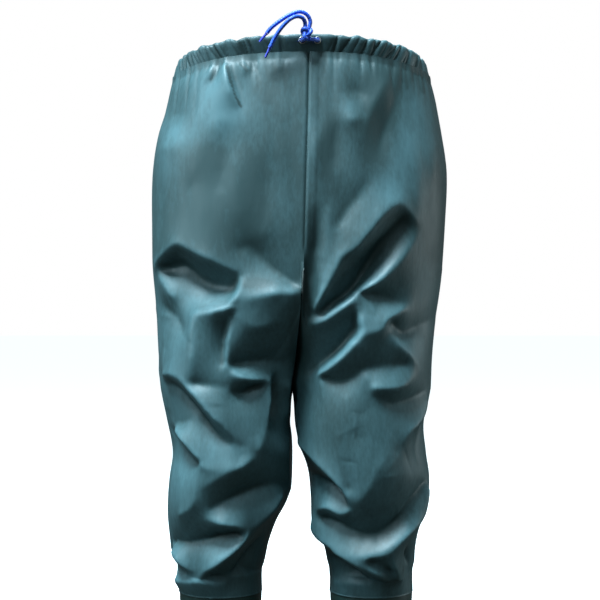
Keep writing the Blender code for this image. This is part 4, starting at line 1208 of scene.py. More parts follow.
# Pale patches are painted light, and dark ones painted shade
PAINTED_PATCHES = (
    Patch(-125, 1137, 30, 42, 0.60),
    Patch(-203, 1075, 24, 20, 0.55),
    Patch(-183, 1167, 34, 18, 0.25),
    Patch(-225, 1033, 18, 34, 0.20),
    Patch(83, 1120, 17, 15, 0.30),
    Patch(187, 1050, 33, 58, 0.58),
    Patch(158, 983, 37, 33, 0.50),
    Patch(-25, 942, 27, 50, 0.15),
    Patch(120, 925, 25, 25, 0.15),
    Patch(-153, 1015, 25, 50, -0.36),
    Patch(-83, 958, 22, 75, -0.35),
    Patch(45, 1050, 15, 42, -0.40),
    Patch(137, 1103, 23, 67, -0.40),
    Patch(-8, 1033, 17, 67, -0.15),
    Patch(227, 950, 10, 83, -0.30),
    Patch(-58, 1150, 25, 40, -0.15),
    Patch(-170, 925, 60, 60, -0.22),
    Patch(-15, 925, 55, 60, -0.15),
    Patch(100, 1120, 60, 60, -0.10),
    Patch(60, 600, 45, 70, -0.35),
    Patch(-195, 515, 22, 40, 0.20),
    Patch(-110, 615, 40, 35, -0.15),
    Patch(-75, 827, 30, 10, -0.40),
    Patch(222, 915, 14, 40, -0.30),
    Patch(-140, 545, 30, 25, 0.15),
    Patch(125, 392, 45, 18, -0.40),
    Patch(-175, 333, 36, 10, 0.90),
    Patch(2, 742, 20, 70, -0.60),
    Patch(14, 812, 12, 48, -0.90),
    Patch(-145, 1110, 50, 50, 0.50),
    Patch(182, 1178, 28, 13, -0.35),
    Patch(192, 1125, 22, 28, 0.30),
)
Line = namedtuple("Line", "half_width strength places")
# Painted shadows where tucks under the casing lie on the cloth
SHADOW_LINES = (
    Line(1.7, -1.6, ((-122, 1190), (-114, 1160), (-107, 1138), (-99, 1123))),
    Line(3.0, -0.9, ((-141, 1187), (-148, 1168))),
    Line(2.5, -1.1, ((-100, 1197), (-89, 1183))),
    Line(2.2, -0.9, ((-86, 1195), (-74, 1183))),
    Line(2.2, -0.9, ((148, 1185), (150, 1158))),
    Line(1.8, -0.5, ((177, 1172), (179, 1153))),
    Line(3.0, -0.9, ((205, 1171), (202, 1158), (205, 1148))),
)
print(len(PAINTED_PATCHES), "patches and", len(SHADOW_LINES), "lines")

# %% [markdown]
# At each point of the cloth the painted patches and shadow lines are added up, as the camera sees
# them; the back takes the patches' mirror image. The sum of painted light and shade is stored on the
# mesh, where the cloth's finish reads it.

# %% Painted light and shade at points
PATCH_SCALE = 1.4
# Painted shade makes the body darker than the legs
BODY_SHADE = -0.34
BODY_SHADE_FROM = 0.80
BODY_SHADE_FADE = 0.10


def way_off(across, height, places):
    """How far points are from a line through places."""
    nearest = np.full(across.shape, np.inf)
    for (x, z), (end_x, end_z) in zip(places, places[1:]):
        dx, dz = end_x - x, end_z - z
        share = np.clip(((across - x) * dx + (height - z) * dz) / (dx * dx + dz * dz), 0.0, 1.0)
        nearest = np.minimum(nearest, np.hypot(across - x - share * dx, height - z - share * dz))
    return nearest


def painted_shading(points):
    """Painted light and shade at points: the laid-out patches in front, and their mirror image behind."""
    facing = np.where(points[..., 1] < LEG_AXIS_Y, 1.0, -1.0)
    shown = seen_places(points, facing)
    across, height = shown[..., 0] * facing, shown[..., 1]
    total = BODY_SHADE * smoothstep((points[..., 2] - BODY_SHADE_FROM) / BODY_SHADE_FADE)
    for patch in PAINTED_PATCHES:
        beside = (across - patch.across) / patch.half_width
        above = (height - patch.height) / patch.half_height
        total += PATCH_SCALE * patch.strength * np.exp(-beside ** 2 - above ** 2)
    for line in SHADOW_LINES:
        away = way_off(across, height, line.places) / line.half_width
        total += np.where(facing > 0, line.strength * np.exp(-away ** 2), 0.0)
    return total


PAINTED_SHADING = {leg: painted_shading(FOLDED[leg]) for leg in SIDES}
for leg, values in PAINTED_SHADING.items():
    print(leg, "bloom from", round(float(values.min()), 2), "to", round(float(values.max()), 2))

# %% [markdown]
# ## Trousers
# Each half is one mesh: an open strip down to the fork, and a closed tube below it. Light is painted on
# its ridges and shade in its troughs, and this is added to the other painted light and shade. The hem at
# the leg's end is turned in, so a few more rows carry on round its edge and up inside.

# %% Helpers for meshes
def half_faces(side, rows, around, outer, fork_row):
    """Faces of one half's grid: an open strip down to the fork, and a closed tube below it."""
    ids = np.arange(rows * around).reshape(rows, around)
    after = np.roll(ids, -1, axis=1)
    quads = np.stack([ids[:-1], ids[1:], after[1:], after[:-1]], axis=-1)
    used = np.ones((rows - 1, around), bool)
    used[:fork_row, outer:] = False
    return quads[used] if side > 0 else quads[used][:, ::-1]


def sparse_mesh(name, points, faces):
    """A mesh of only the points that its faces use."""
    used, faces = np.unique(faces, return_inverse=True)
    return grid_mesh(name, points[used].tolist(), faces.reshape(-1, 4).tolist())


def show(obj, material, slot, *nodes):
    """Gives a piece its finish, hangs it on the root, and hides the imported parts that it stands for."""
    obj.data.materials.append(material)
    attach(obj, "root")
    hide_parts(*nodes)
    print(obj.name, len(obj.data.polygons), "faces")
    return obj


def store_painted_shading(obj, values):
    obj.data.attributes.new("painted_shading", "FLOAT", "POINT").data.foreach_set("value", values)


# %% Trousers
# Painted light for each metre that a ridge stands out from the cloth round it, and as much painted
# shade for a trough
CREASE_SHADE = 160.0
CREASE_SHADE_LIMIT = 0.003
CREASE_SHADE_PASSES = 10
# The hem's rows: outwards and up from the leg's edge, in metres
HEM = ((0.0004, -0.0005), (0.0001, -0.0010), (-0.0006, -0.0008), (-0.0010, 0.0), (-0.0010, 0.0080))

for leg, side in SIDES.items():
    edge, out = FOLDED[leg][-1], OUT[leg][-1]
    hem = np.array([edge + out * outwards + np.array((0.0, 0.0, up)) for outwards, up in HEM])
    points = np.concatenate([FOLDED[leg], hem])
    faces = half_faces(side, len(points), AROUND, OUTER, FORK_ROW)
    half = sparse_mesh("trousers_" + leg + "_cloth", points.reshape(-1, 3), faces)
    stands_out = HEIGHTS[leg] - soften(HEIGHTS[leg], CREASE_SHADE_PASSES)
    shaded = PAINTED_SHADING[leg] + CREASE_SHADE * np.clip(stands_out, -CREASE_SHADE_LIMIT, CREASE_SHADE_LIMIT)
    store_painted_shading(half, np.concatenate([shaded, painted_shading(hem)]).ravel()[np.unique(faces)])
    show(half, CLOTH, "coated_cloth", "trousers_" + leg)

# %% [markdown]
# ## Casing
# The casing is the top edge of the cloth, turned over and sewn down, so that it makes a soft tunnel. Its
# section is a bulged slot that is pinched where it is sewn: the front face leans forward over the seam
# and looks dark. The section is swept round the waist, and the gathers push it in.

# %% Waist line
WAIST_COLUMNS = 760
WAIST_STEPS = 1500
UP = np.array((0.0, 0.0, 1.0))


def even_loop(line, count):
    """A closed line as points an equal way apart, with the way to each."""
    closed = np.vstack([line, line[:1]])
    way = way_along(closed)
    at = np.arange(count) / count * way[-1]
    return np.stack([np.interp(at, way, closed[:, i]) for i in range(closed.shape[1])], axis=-1), at


def waist_loop():
    """The waist line from the front seam round by +X, its outward directions, and the way from that seam."""
    turn = np.linspace(0.0, 1.0, WAIST_STEPS)
    half = {leg: body_points(side, turn, np.full(turn.size, WAIST_HEIGHT)) for leg, side in SIDES.items()}
    points, at = even_loop(np.vstack([half["right"][:-1], half["left"][:0:-1]]), WAIST_COLUMNS)
    ahead = np.roll(points, -1, axis=0) - np.roll(points, 1, axis=0)
    out = np.cross(ahead, UP)
    out /= np.linalg.norm(out, axis=1, keepdims=True)
    whole = WAIST_HALF["left"] + WAIST_HALF["right"]
    return points, out, np.where(at > WAIST_HALF["right"], at - whole, at)


WAIST, WAIST_OUT, WAIST_ALONG = waist_loop()
print("waist line of", WAIST_COLUMNS, "points")

# %% Casing's section
CASING_SECTION = (
    # outward from the waist line and up from the seam, in millimetres
    (-6.0, 0.0), (-4.6, 3.5), (-2.4, 9.5), (-0.1, 16.0), (2.0, 22.0), (3.2, 27.2), (2.2, 31.0), (-1.2, 31.9),
    (-5.6, 30.6), (-9.0, 26.0), (-10.5, 18.0), (-10.4, 10.0), (-9.0, 3.0), (-7.2, -0.4),
)
CASING_SECTION_POINTS = 56
CURVE_STEPS = 12


def smooth_loop(corners, steps):
    """A closed smooth curve through corners."""
    corners = np.array(corners, float)
    a, b, c, d = (np.roll(corners, shift, axis=0)[:, None] for shift in (1, 0, -1, -2))
    return curve(a, b, c, d, (np.arange(steps) / steps)[None, :, None]).reshape(-1, corners.shape[1])


section = even_loop(smooth_loop(CASING_SECTION, CURVE_STEPS), CASING_SECTION_POINTS)[0] / MM_PER_M
section_ahead = np.roll(section, -1, axis=0) - np.roll(section, 1, axis=0)
section_out = np.stack([section_ahead[:, 1], -section_ahead[:, 0]], axis=-1)
section_out /= np.linalg.norm(section_out, axis=1, keepdims=True)
print("casing", round(float(np.ptp(section[:, 1])) * MM_PER_M, 1), "mm high")

# %% Casing's form
# At the wearer's sides the casing leans in, as the body does there, and turns about this height
SIDE_LEAN = 0.62
SIDE_LEAN_FROM = 0.008
# The gathers push the inner wall in less than the outer one
INNER_SHARE = 0.3
# The top edge waves a little, except at the flat front; the two waves' lengths are 2 pi times these
CASING_WAVE = 0.0010
WAVES = (0.0041, 0.0067)
WAVE_SHIFT = 1.0
WAVE_FADE = 0.02


def loop_faces(columns, around):
    """Faces of a tube that closes both ways."""
    ids = np.arange(columns * around).reshape(columns, around)
    beside, above = np.roll(ids, -1, axis=0), np.roll(ids, -1, axis=1)
    both = np.roll(beside, -1, axis=1)
    return np.stack([ids, beside, both, above], axis=-1).reshape(-1, 4)


section_reach, section_up = section[None, :, 0], section[None, :, 1]
pushed = gather_depth(WAIST_ALONG[:, None], section_up) * np.where(section_out[:, 0] < 0, INNER_SHARE, 1.0)
side_lean = SIDE_LEAN * (SIDE_LEAN_FROM - section_up) * WAIST_OUT[:, :1] ** 2
wave = CASING_WAVE * (np.cos(WAIST_ALONG / WAVES[0]) + np.cos(WAIST_ALONG / WAVES[1] + WAVE_SHIFT))
wave *= smoothstep((np.abs(WAIST_ALONG) - FLAT_FRONT) / WAVE_FADE)
lift = section_up + pushed * section_out[:, 1] + wave[:, None] * section_up / section_up.max()
reach = section_reach + pushed * section_out[:, 0] + side_lean
casing_points = WAIST[:, None] + WAIST_OUT[:, None] * reach[..., None] + lift[..., None] * UP
casing_faces = loop_faces(WAIST_COLUMNS, CASING_SECTION_POINTS)
print("casing's top at", round(float(casing_points[..., 2].max()), 4), "m")

# %% [markdown]
# ## Eyelets
# The cord leaves the casing through two metal eyelets beside the front seam. The metal is dull and a
# little mottled, so its roughness and colour change with the same mask.

# %% Eyelet metal
METAL_DARK = (0.50, 0.46, 0.39)
METAL_PALE = (0.66, 0.63, 0.56)


def metal():
    material, tree, shader = new_material("eyelet_metal_finish")
    dull = mottle(tree, 4.0)
    tree.links.new(blend_colours(tree, dull, METAL_DARK, METAL_PALE), shader.inputs["Base Color"])
    tree.links.new(spread_value(tree, dull, 0.42, 0.26), shader.inputs["Roughness"])
    shader.inputs["Metallic"].default_value = 1.0
    return material


METAL = metal()
print("finish", METAL.name)

# %% [markdown]
# An eyelet is a turned ring with a rolled flange, so one small profile is turned about its axis. The
# casing's faces inside the ring are taken away for the hole; the ring hides the uneven edge that this
# leaves.

# %% Eyelets
EYELET_ABOVE_SEAM = 0.0218
EYELET_FROM_SEAM = {"left": 0.010, "right": 0.013}
EYELET_FORWARD = 0.0025
EYELET_PROFILE = (
    # radius and way outwards, in millimetres
    (4.0, -1.6), (4.0, 0.3), (4.25, 1.0), (4.9, 1.35), (5.5, 1.15), (5.8, 0.55), (5.5, 0.30), (4.6, 0.25),
    (4.45, -1.6),
)
EYELET_STEPS = 48
PROFILE_STEPS = 4
HOLE_RADIUS = 0.0046
HOLE_DEPTH = 0.004


def axes_from(out):
    """Two directions square to an outward one."""
    across = np.cross(UP, out)
    across /= np.linalg.norm(across)
    return across, np.cross(out, across)


EYELETS = {}
for leg, side in SIDES.items():
    nearest = np.argmin(np.abs(WAIST_ALONG - side * EYELET_FROM_SEAM[leg]))
    out = WAIST_OUT[nearest]
    place = WAIST[nearest] + out * EYELET_FORWARD + UP * EYELET_ABOVE_SEAM
    EYELETS[leg] = (place, out)
    across, up = axes_from(out)
    angle = (np.arange(EYELET_STEPS) / EYELET_STEPS * 2 * math.pi)[:, None]
    profile = smooth_loop(EYELET_PROFILE, PROFILE_STEPS) / MM_PER_M
    spoke = np.cos(angle)[..., None] * across + np.sin(angle)[..., None] * up
    ring = place + spoke * profile[None, :, :1] + out * profile[None, :, 1:]
    faces = loop_faces(EYELET_STEPS, len(profile))[:, ::-1]
    eyelet = grid_mesh("eyelet_" + leg + "_ring", ring.reshape(-1, 3).tolist(), faces.tolist())
    show(eyelet, METAL, "eyelet_metal", "eyelet_" + leg)
    middles = casing_points.reshape(-1, 3)[casing_faces].mean(axis=1) - place
    deep = middles @ out
    away = np.linalg.norm(middles - deep[:, None] * out, axis=1)
    casing_faces = casing_faces[(away > HOLE_RADIUS) | (np.abs(deep) > HOLE_DEPTH)]

# %% [markdown]
# With its two holes the casing is whole. Shade is painted over all of it and darkest in its pleats, and
# light is painted on the wearer's left, the +X side. Both are stored on the mesh, as on the trousers.

# %% Casing's mesh
# Painted shade over the whole casing and in its pleats, and painted light on its +X side
CASING_SHADE = -0.08
PLEAT_SHADE = 0.60
CASING_RIGHT = 0.30
CASING_RIGHT_FROM = 0.06
CASING_RIGHT_FADE = 0.06

casing = sparse_mesh("waist_casing_cloth", casing_points.reshape(-1, 3), casing_faces)
right_light = CASING_RIGHT * smoothstep((casing_points[..., 0] - CASING_RIGHT_FROM) / CASING_RIGHT_FADE)
casing_shading = CASING_SHADE + right_light + PLEAT_SHADE * pushed / np.abs(pushed).max()
store_painted_shading(casing, casing_shading.ravel()[np.unique(casing_faces)])
show(casing, CLOTH, "coated_cloth", "waist_casing")

# %% [markdown]
# ## Drawstring
# The drawstring is a braided cord, about 6.4 mm thick. It runs round the waist inside the casing, comes
# out through the eyelets, is tied in a knot, and its two ends arch over to one side; a narrow tip, sealed
# with heat, closes each end. Cord and tip share one finish in two colours, with a soft sheen from its
# fibres.

# %% Cord finishes
def cord_finish(name, dark, light, rough):
    material, tree, shader = new_material(name)
    tree.links.new(blend_colours(tree, mottle(tree, 7.0), dark, light), shader.inputs["Base Color"])
    shader.inputs["Roughness"].default_value = rough
    shader.inputs["Sheen Weight"].default_value = 0.25
    bump(tree, shader, grain(tree, 0.5), 0.05)
    return material


CORD = cord_finish("blue_cord_finish", (0.012, 0.070, 0.52), (0.020, 0.105, 0.68), 0.42)
TIP = cord_finish("cord_tip_finish", (0.035, 0.045, 0.42), (0.050, 0.065, 0.52), 0.34)
print("finishes", CORD.name, "and", TIP.name)

# %% [markdown]
# A cord is a tube swept along a path. At each point of the path the tube needs two directions square to
# it; carrying them on from point to point keeps the tube from twisting. The strands of the braid cross
# each other to the left and to the right, so two waves multiplied give the ridges in the radius.

# %% Cord tubes
CORD_RADIUS = 0.0032
CORD_AROUND = 24
BRAID_STRANDS = 4
BRAID_LENGTH = 0.0090
BRAID_RELIEF = 0.06
# Any direction that no path starts along
FIRST_SIDE = (0.31, 0.24, 0.92)


def frames(path, closed):
    """Two directions square to a path at each of its points, without a twist."""
    ahead = np.roll(path, -1, axis=0) - np.roll(path, 1, axis=0) if closed else np.gradient(path, axis=0)
    ahead /= np.linalg.norm(ahead, axis=1, keepdims=True)
    side = np.cross(ahead[0], FIRST_SIDE)
    sides = []
    for direction in ahead:
        side = side - direction * (side @ direction)
        side = side / np.linalg.norm(side)
        sides.append(side)
    return np.array(sides), np.cross(ahead, sides)


def sweep(name, path, radius, braid=True, closed=False):
    """A tube along a path, with a radius for all of it or for each of its points."""
    sides, ups = frames(path, closed)
    angle = np.arange(CORD_AROUND) / CORD_AROUND * 2 * math.pi
    size = np.broadcast_to(np.asarray(radius, float).reshape(-1, 1), (len(path), CORD_AROUND))
    if braid:
        turn = 2 * math.pi * way_along(path)[:, None] / BRAID_LENGTH
        plait = np.cos(BRAID_STRANDS * angle + turn) * np.cos(BRAID_STRANDS * angle - turn)
        size = size * (1 + BRAID_RELIEF * (plait - 0.5))
    spoke = np.cos(angle)[None, :, None] * sides[:, None] + np.sin(angle)[None, :, None] * ups[:, None]
    points = path[:, None] + spoke * size[..., None]
    faces = loop_faces(len(path), CORD_AROUND).reshape(len(path), CORD_AROUND, 4)
    faces = [tuple(f) for f in (faces if closed else faces[:-1]).reshape(-1, 4)[:, ::-1].tolist()]
    if not closed:
        last = (len(path) - 1) * CORD_AROUND
        faces.append(tuple(range(CORD_AROUND))[::-1])
        faces.append(tuple(range(last, last + CORD_AROUND)))
    return grid_mesh(name, points.reshape(-1, 3).tolist(), faces)


print("cord", round(2 * CORD_RADIUS * MM_PER_M, 1), "mm thick")

# %% [markdown]
# The knot is small and pulled tight. A trefoil curve is an overhand knot with its ends joined, and swept
# at the cord's thickness it looks tied from every side.

# %% Knot
KNOT_PLACE = np.array((0.0105, -0.1170, 1.2165))
KNOT_SCALE = np.array((0.0025, 0.0026, 0.0031))
KNOT_POINTS = 220
KNOT_TURN = 0.5
KNOT_DEPTH = 1.1

turn = np.arange(KNOT_POINTS) / KNOT_POINTS * 2 * math.pi + KNOT_TURN
overhand = np.stack([
    np.sin(turn) + 2 * np.sin(2 * turn),
    -KNOT_DEPTH * np.sin(3 * turn),
    np.cos(turn) - 2 * np.cos(2 * turn),
], axis=-1)
knot = sweep("drawstring_knot_tied", KNOT_PLACE + KNOT_SCALE * overhand, CORD_RADIUS, closed=True)
show(knot, CORD, "blue_cord", "drawstring_knot")

# %% [markdown]
# The run of the cord follows the waist line inside the casing, a little behind its front wall. Near the
# front it bends out through each eyelet and on to the underside of the knot.

# %% Run inside the casing
TUNNEL_FORWARD = -0.0052
CORD_TURN = 0.016
CORD_OUT = 0.006
CORD_SPACING = 0.0012
CORD_GAP = 0.0003
# Every so many points of the waist line are enough for a smooth run
RUN_STEP = 10
UNDER_KNOT = np.array((0.0, 0.0, 0.0095))
BEHIND_EYELET = 0.002
BEFORE_EYELET = 0.0015
TOWARDS_KNOT = np.array((0.35, 0.2, 0.0))

lean_in = SIDE_LEAN * (SIDE_LEAN_FROM - EYELET_ABOVE_SEAM) * WAIST_OUT[:, :1] ** 2
tunnel = WAIST + WAIST_OUT * (TUNNEL_FORWARD + lean_in) + UP * EYELET_ABOVE_SEAM
clear_of_eyelets = np.abs(WAIST_ALONG) > EYELET_FROM_SEAM["right"] + CORD_TURN
inside = list(tunnel[clear_of_eyelets][::RUN_STEP])
under_knot = KNOT_PLACE - UNDER_KNOT
stubs = {}
for leg, side in SIDES.items():
    place, out = EYELETS[leg]
    sideways = np.array((side, 0.0, 0.0))
    stubs[leg] = [
        place - out * BEHIND_EYELET + sideways * BEHIND_EYELET,
        place + out * BEFORE_EYELET,
        place + out * CORD_OUT + (under_knot - place) * TOWARDS_KNOT,
        under_knot + sideways * (CORD_RADIUS + CORD_GAP),
    ]
run_path = smooth_line(stubs["right"][::-1] + inside + stubs["left"], CORD_SPACING)
show(sweep("drawstring_run_cord", run_path, CORD_RADIUS), CORD, "blue_cord", "drawstring_run")

# %% [markdown]
# The loose ends are laid along what the picture shows. They are soft, so each one is a route of points
# from where it leaves the knot. Its tip narrows from the cord to a blunt point.

# %% Ends and tips
TIP_LENGTH = 0.018
TIP_RADIUS = 0.0021
TIP_POINTS = 40
TIP_SHAPE = (
    # share of the tip's length, and radius
    (0.0, CORD_RADIUS), (0.06, 0.0027), (0.16, TIP_RADIUS),
    (0.85, 0.95 * TIP_RADIUS), (0.96, 0.8 * TIP_RADIUS), (1.0, 0.35 * TIP_RADIUS),
)
END_SPACING = 0.0006
END_ROUTES = {
    "long": ((0.0140, -0.1165, 1.2235), (0.0160, -0.1165, 1.2350), (0.0105, -0.1190, 1.2450),
             (-0.0010, -0.1205, 1.2490), (-0.0160, -0.1220, 1.2440), (-0.0310, -0.1225, 1.2345),
             (-0.0445, -0.1215, 1.2240), (-0.0515, -0.1200, 1.2160)),
    "short": ((0.0080, -0.1165, 1.2240), (0.0078, -0.1175, 1.2325), (0.0040, -0.1220, 1.2390),
              (-0.0050, -0.1265, 1.2405), (-0.0150, -0.1290, 1.2360), (-0.0250, -0.1280, 1.2270),
              (-0.0340, -0.1250, 1.2160), (-0.0420, -0.1210, 1.2030), (-0.0465, -0.1185, 1.1940)),
}


def path_length(path):
    return float(np.linalg.norm(np.diff(path, axis=0), axis=1).sum())


for name, route in END_ROUTES.items():
    path = smooth_line(route, END_SPACING)
    heading = path[-1] - path[-2]
    heading /= np.linalg.norm(heading)
    way = np.linspace(0.0, 1.0, TIP_POINTS)
    radius = np.interp(way, *zip(*TIP_SHAPE))
    tip_path = path[-1] + heading * (CORD_GAP + way[:, None] * TIP_LENGTH)
    tip = sweep("drawstring_tip_" + name + "_sealed", tip_path, radius, braid=False)
    show(tip, TIP, "blue_cord", "drawstring_tip_" + name)
    end = sweep("drawstring_end_" + name + "_cord", path, CORD_RADIUS)
    show(end, CORD, "blue_cord", "drawstring_end_" + name)
    print("end", name, "is", round(path_length(path) * MM_PER_M), "mm long without its tip")

# %% [markdown]
# ## Boots
# The boots are moulded in rubber: a foot with a thicker band round the sole, a toe guard and a heel
# guard, and a straight shaft that goes up inside the leg. The rubber is satin and dark, and a little dust
# lies near the floor, so one finish takes two colours and an amount of dust.

# %% Boot finishes
DUST = (0.16, 0.15, 0.13)
DUST_TOP = 0.09
ROUGHNESS_SPREAD = 0.05


def rubber(name, dark, light, rough, grain_mm, dust):
    material, tree, shader = new_material(name)
    patches = mottle(tree, 45.0, 1.3)
    split = add_node(tree, "SeparateXYZ")
    tree.links.new(add_node(tree, "TexCoord").outputs["Object"], split.inputs[0])
    low = add_node(tree, "MapRange", From_Min=DUST_TOP, From_Max=0.0, To_Max=dust)
    tree.links.new(split.outputs["Z"], low.inputs["Value"])
    dusty = maths(tree, "MULTIPLY", low.outputs[0], mottle(tree, 6.0))
    colour = blend_colours(tree, patches, dark, light)
    tree.links.new(blend_colours(tree, dusty, colour, DUST), shader.inputs["Base Color"])
    uneven = spread_value(tree, patches, rough - ROUGHNESS_SPREAD, rough + ROUGHNESS_SPREAD)
    tree.links.new(maths(tree, "ADD", uneven, dusty), shader.inputs["Roughness"])
    bump(tree, shader, grain(tree, grain_mm), 0.05)
    return material


BOOT_RUBBER = rubber("boot_rubber_finish", (0.012, 0.030, 0.027), (0.018, 0.042, 0.038), 0.42, 1.3, 0.25)
SOLE_RUBBER = rubber("sole_rubber_finish", (0.010, 0.013, 0.012), (0.016, 0.020, 0.018), 0.60, 0.9, 0.40)
print("finishes", BOOT_RUBBER.name, "and", SOLE_RUBBER.name)

# %% [markdown]
# Outlines at a few heights give the boot's form: where its heel and toe are, how wide it is, and how far
# its outline is foot-shaped rather than oval. A second table has the shape of the sole by stations from
# the toe to the heel. Values between rows are read on the same smooth curves as for the trousers.

# %% Boot tables
BootRow = namedtuple("BootRow", "height heel toe half_width foot_share")
BOOT = (
    BootRow(0.018, 0.0665, -0.2230, 0.0495, 1.00),
    BootRow(0.029, 0.0700, -0.2285, 0.0522, 1.00),
    BootRow(0.042, 0.0705, -0.2270, 0.0520, 1.00),
    BootRow(0.053, 0.0700, -0.2180, 0.0503, 1.00),
    BootRow(0.061, 0.0692, -0.2000, 0.0478, 1.00),
    BootRow(0.068, 0.0683, -0.1760, 0.0455, 0.97),
    BootRow(0.077, 0.0672, -0.1480, 0.0433, 0.86),
    BootRow(0.090, 0.0655, -0.1190, 0.0415, 0.64),
    BootRow(0.107, 0.0640, -0.0960, 0.0412, 0.40),
    BootRow(0.130, 0.0632, -0.0800, 0.0430, 0.18),
    BootRow(0.162, 0.0640, -0.0710, 0.0475, 0.05),
    BootRow(0.205, 0.0660, -0.0682, 0.0545, 0.00),
    BootRow(0.300, 0.0690, -0.0690, 0.0677, 0.00),
    BootRow(0.350, 0.0690, -0.0690, 0.0677, 0.00),
)
SoleRow = namedtuple("SoleRow", "station inner outer top")
SOLE = (
    SoleRow(0.00, 0.82, 0.74, 0.0290),
    SoleRow(0.10, 0.90, 0.84, 0.0232),
    SoleRow(0.20, 0.97, 0.94, 0.0195),
    SoleRow(0.30, 1.00, 1.00, 0.0180),
    SoleRow(0.42, 0.88, 0.98, 0.0185),
    SoleRow(0.56, 0.66, 0.87, 0.0215),
    SoleRow(0.72, 0.61, 0.75, 0.0268),
    SoleRow(0.87, 0.68, 0.70, 0.0300),
    SoleRow(1.00, 0.68, 0.68, 0.0305),
)
BOOT_X = {"left": -0.1320, "right": 0.1185}
print("boot", round(BOOT[1].heel - BOOT[1].toe, 3), "m long")

# %% Boot outlines
# The feet turn out by this way for each metre forward
TOE_OUT = 0.105
BALL_HALF_WIDTH = 0.0525
SOLE_BALL_TOP = 0.018
SOLE_LINE_FADE_HEIGHT = 0.100
TOE_ROUND_SHARE = 0.17
HEEL_ROUND_SHARE = 0.13
BOOT_AROUND = 128
BOOT_ANGLE = np.arange(BOOT_AROUND) / BOOT_AROUND * 2 * math.pi
STATION = (1 - np.cos(BOOT_ANGLE)) / 2


def round_end(way, share):
    """Narrows an end like a circle over a share of the length."""
    return np.sqrt(np.maximum(0.0, 1 - np.maximum(0.0, 1 - way / share) ** 2))


def foot_half_width():
    """Half widths of the sole at the stations, the outer side's and then the inner side's."""
    outer, inner = read_table(SOLE, "outer", STATION), read_table(SOLE, "inner", STATION)
    width = BALL_HALF_WIDTH * np.where(np.sin(BOOT_ANGLE) > 0, outer, inner)
    return width * round_end(STATION, TOE_ROUND_SHARE) * round_end(1 - STATION, HEEL_ROUND_SHARE)


def boot_outline(leg, row, inset=0.0):
    """One outline of a boot, from the toe round by the outer side, at the row's height."""
    round_width = row.half_width * np.abs(np.sin(BOOT_ANGLE))
    foot_width = foot_half_width() * row.half_width / BALL_HALF_WIDTH
    width = round_width + (foot_width - round_width) * row.foot_share
    y = row.toe + inset + (row.heel - row.toe - 2 * inset) * STATION
    across = np.sign(np.sin(BOOT_ANGLE)) * np.maximum(0.0, width - inset)
    across += TOE_OUT * np.maximum(0.0, -y) * row.foot_share
    x = BOOT_X[leg] + SIDES[leg] * across
    return np.stack([x, LEG_AXIS_Y + y, np.full(BOOT_AROUND, row.height)], axis=-1)


def boot_row(height):
    """A row of the boot's table at any height."""
    return BootRow(height, *(float(read_table(BOOT, name, np.array(height))) for name in BootRow._fields[1:]))


def on_sole_line(points, height):
    """An outline moved to follow the top line of the sole, less and less up to the instep."""
    fade = max(0.0, 1 - (height - SOLE_BALL_TOP) / (SOLE_LINE_FADE_HEIGHT - SOLE_BALL_TOP))
    points[:, 2] += (read_table(SOLE, "top", STATION) - SOLE_BALL_TOP) * fade
    return points


print("foot", round(2 * float(foot_half_width().max()), 4), "m wide at the ball")

# %% [markdown]
# A fine grid is run through the outlines. The moulded bands are small rounded steps along its outward
# directions, and the ankle has a few soft wrinkles where it bends. A second skin inside makes the wall.

# %% Boot walls
BOOT_WALL = 0.0022
BOOT_HEIGHTS = np.concatenate([np.linspace(0.018, 0.110, 64), np.linspace(0.110, 0.350, 82)[1:]])
STEP_SOFTNESS = 0.0012
Band = namedtuple("Band", "top thickness")
FOXING = Band(0.031, 0.0012)
TOE_GUARD = Band(0.055, 0.0010)
TOE_GUARD_STATION = 0.20
HEEL_GUARD = Band(0.080, 0.0010)
HEEL_GUARD_STATION = 0.85
GUARD_SOFTNESS = 0.006
WELD_HEIGHT = 0.205
WELD_BEAD = 0.0010
WELD_BEAD_HALF = 0.0022
ANKLE_WRINKLE = 0.0007
ANKLE_WRINKLE_LENGTH = 0.011
ANKLE_HEIGHT = 0.120
ANKLE_REACH = 0.018
ANKLE_STATION = 0.45
ANKLE_FADE = 0.3


def step_edge(value, edge, soft=STEP_SOFTNESS):
    """One below an edge and nought above it, with a rounded step."""
    return smoothstep(0.5 + (edge - value) / (2 * soft))


def boot_relief():
    """How far the moulded bands stand out, by height and station."""
    height, station = np.meshgrid(BOOT_HEIGHTS, STATION, indexing="ij")
    toe = step_edge(station, TOE_GUARD_STATION, GUARD_SOFTNESS)
    heel = step_edge(1 - station, 1 - HEEL_GUARD_STATION, GUARD_SOFTNESS)
    relief = WELD_BEAD * np.exp(-((height - WELD_HEIGHT) / WELD_BEAD_HALF) ** 2)
    for band, share in ((FOXING, 1.0), (TOE_GUARD, toe), (HEEL_GUARD, heel)):
        relief += band.thickness * share * step_edge(height, band.top)
    bend = np.exp(-((height - ANKLE_HEIGHT) / ANKLE_REACH) ** 2)
    bend *= smoothstep((ANKLE_STATION - station) / ANKLE_FADE)
    return relief + ANKLE_WRINKLE * bend * np.cos(2 * math.pi * height / ANKLE_WRINKLE_LENGTH)


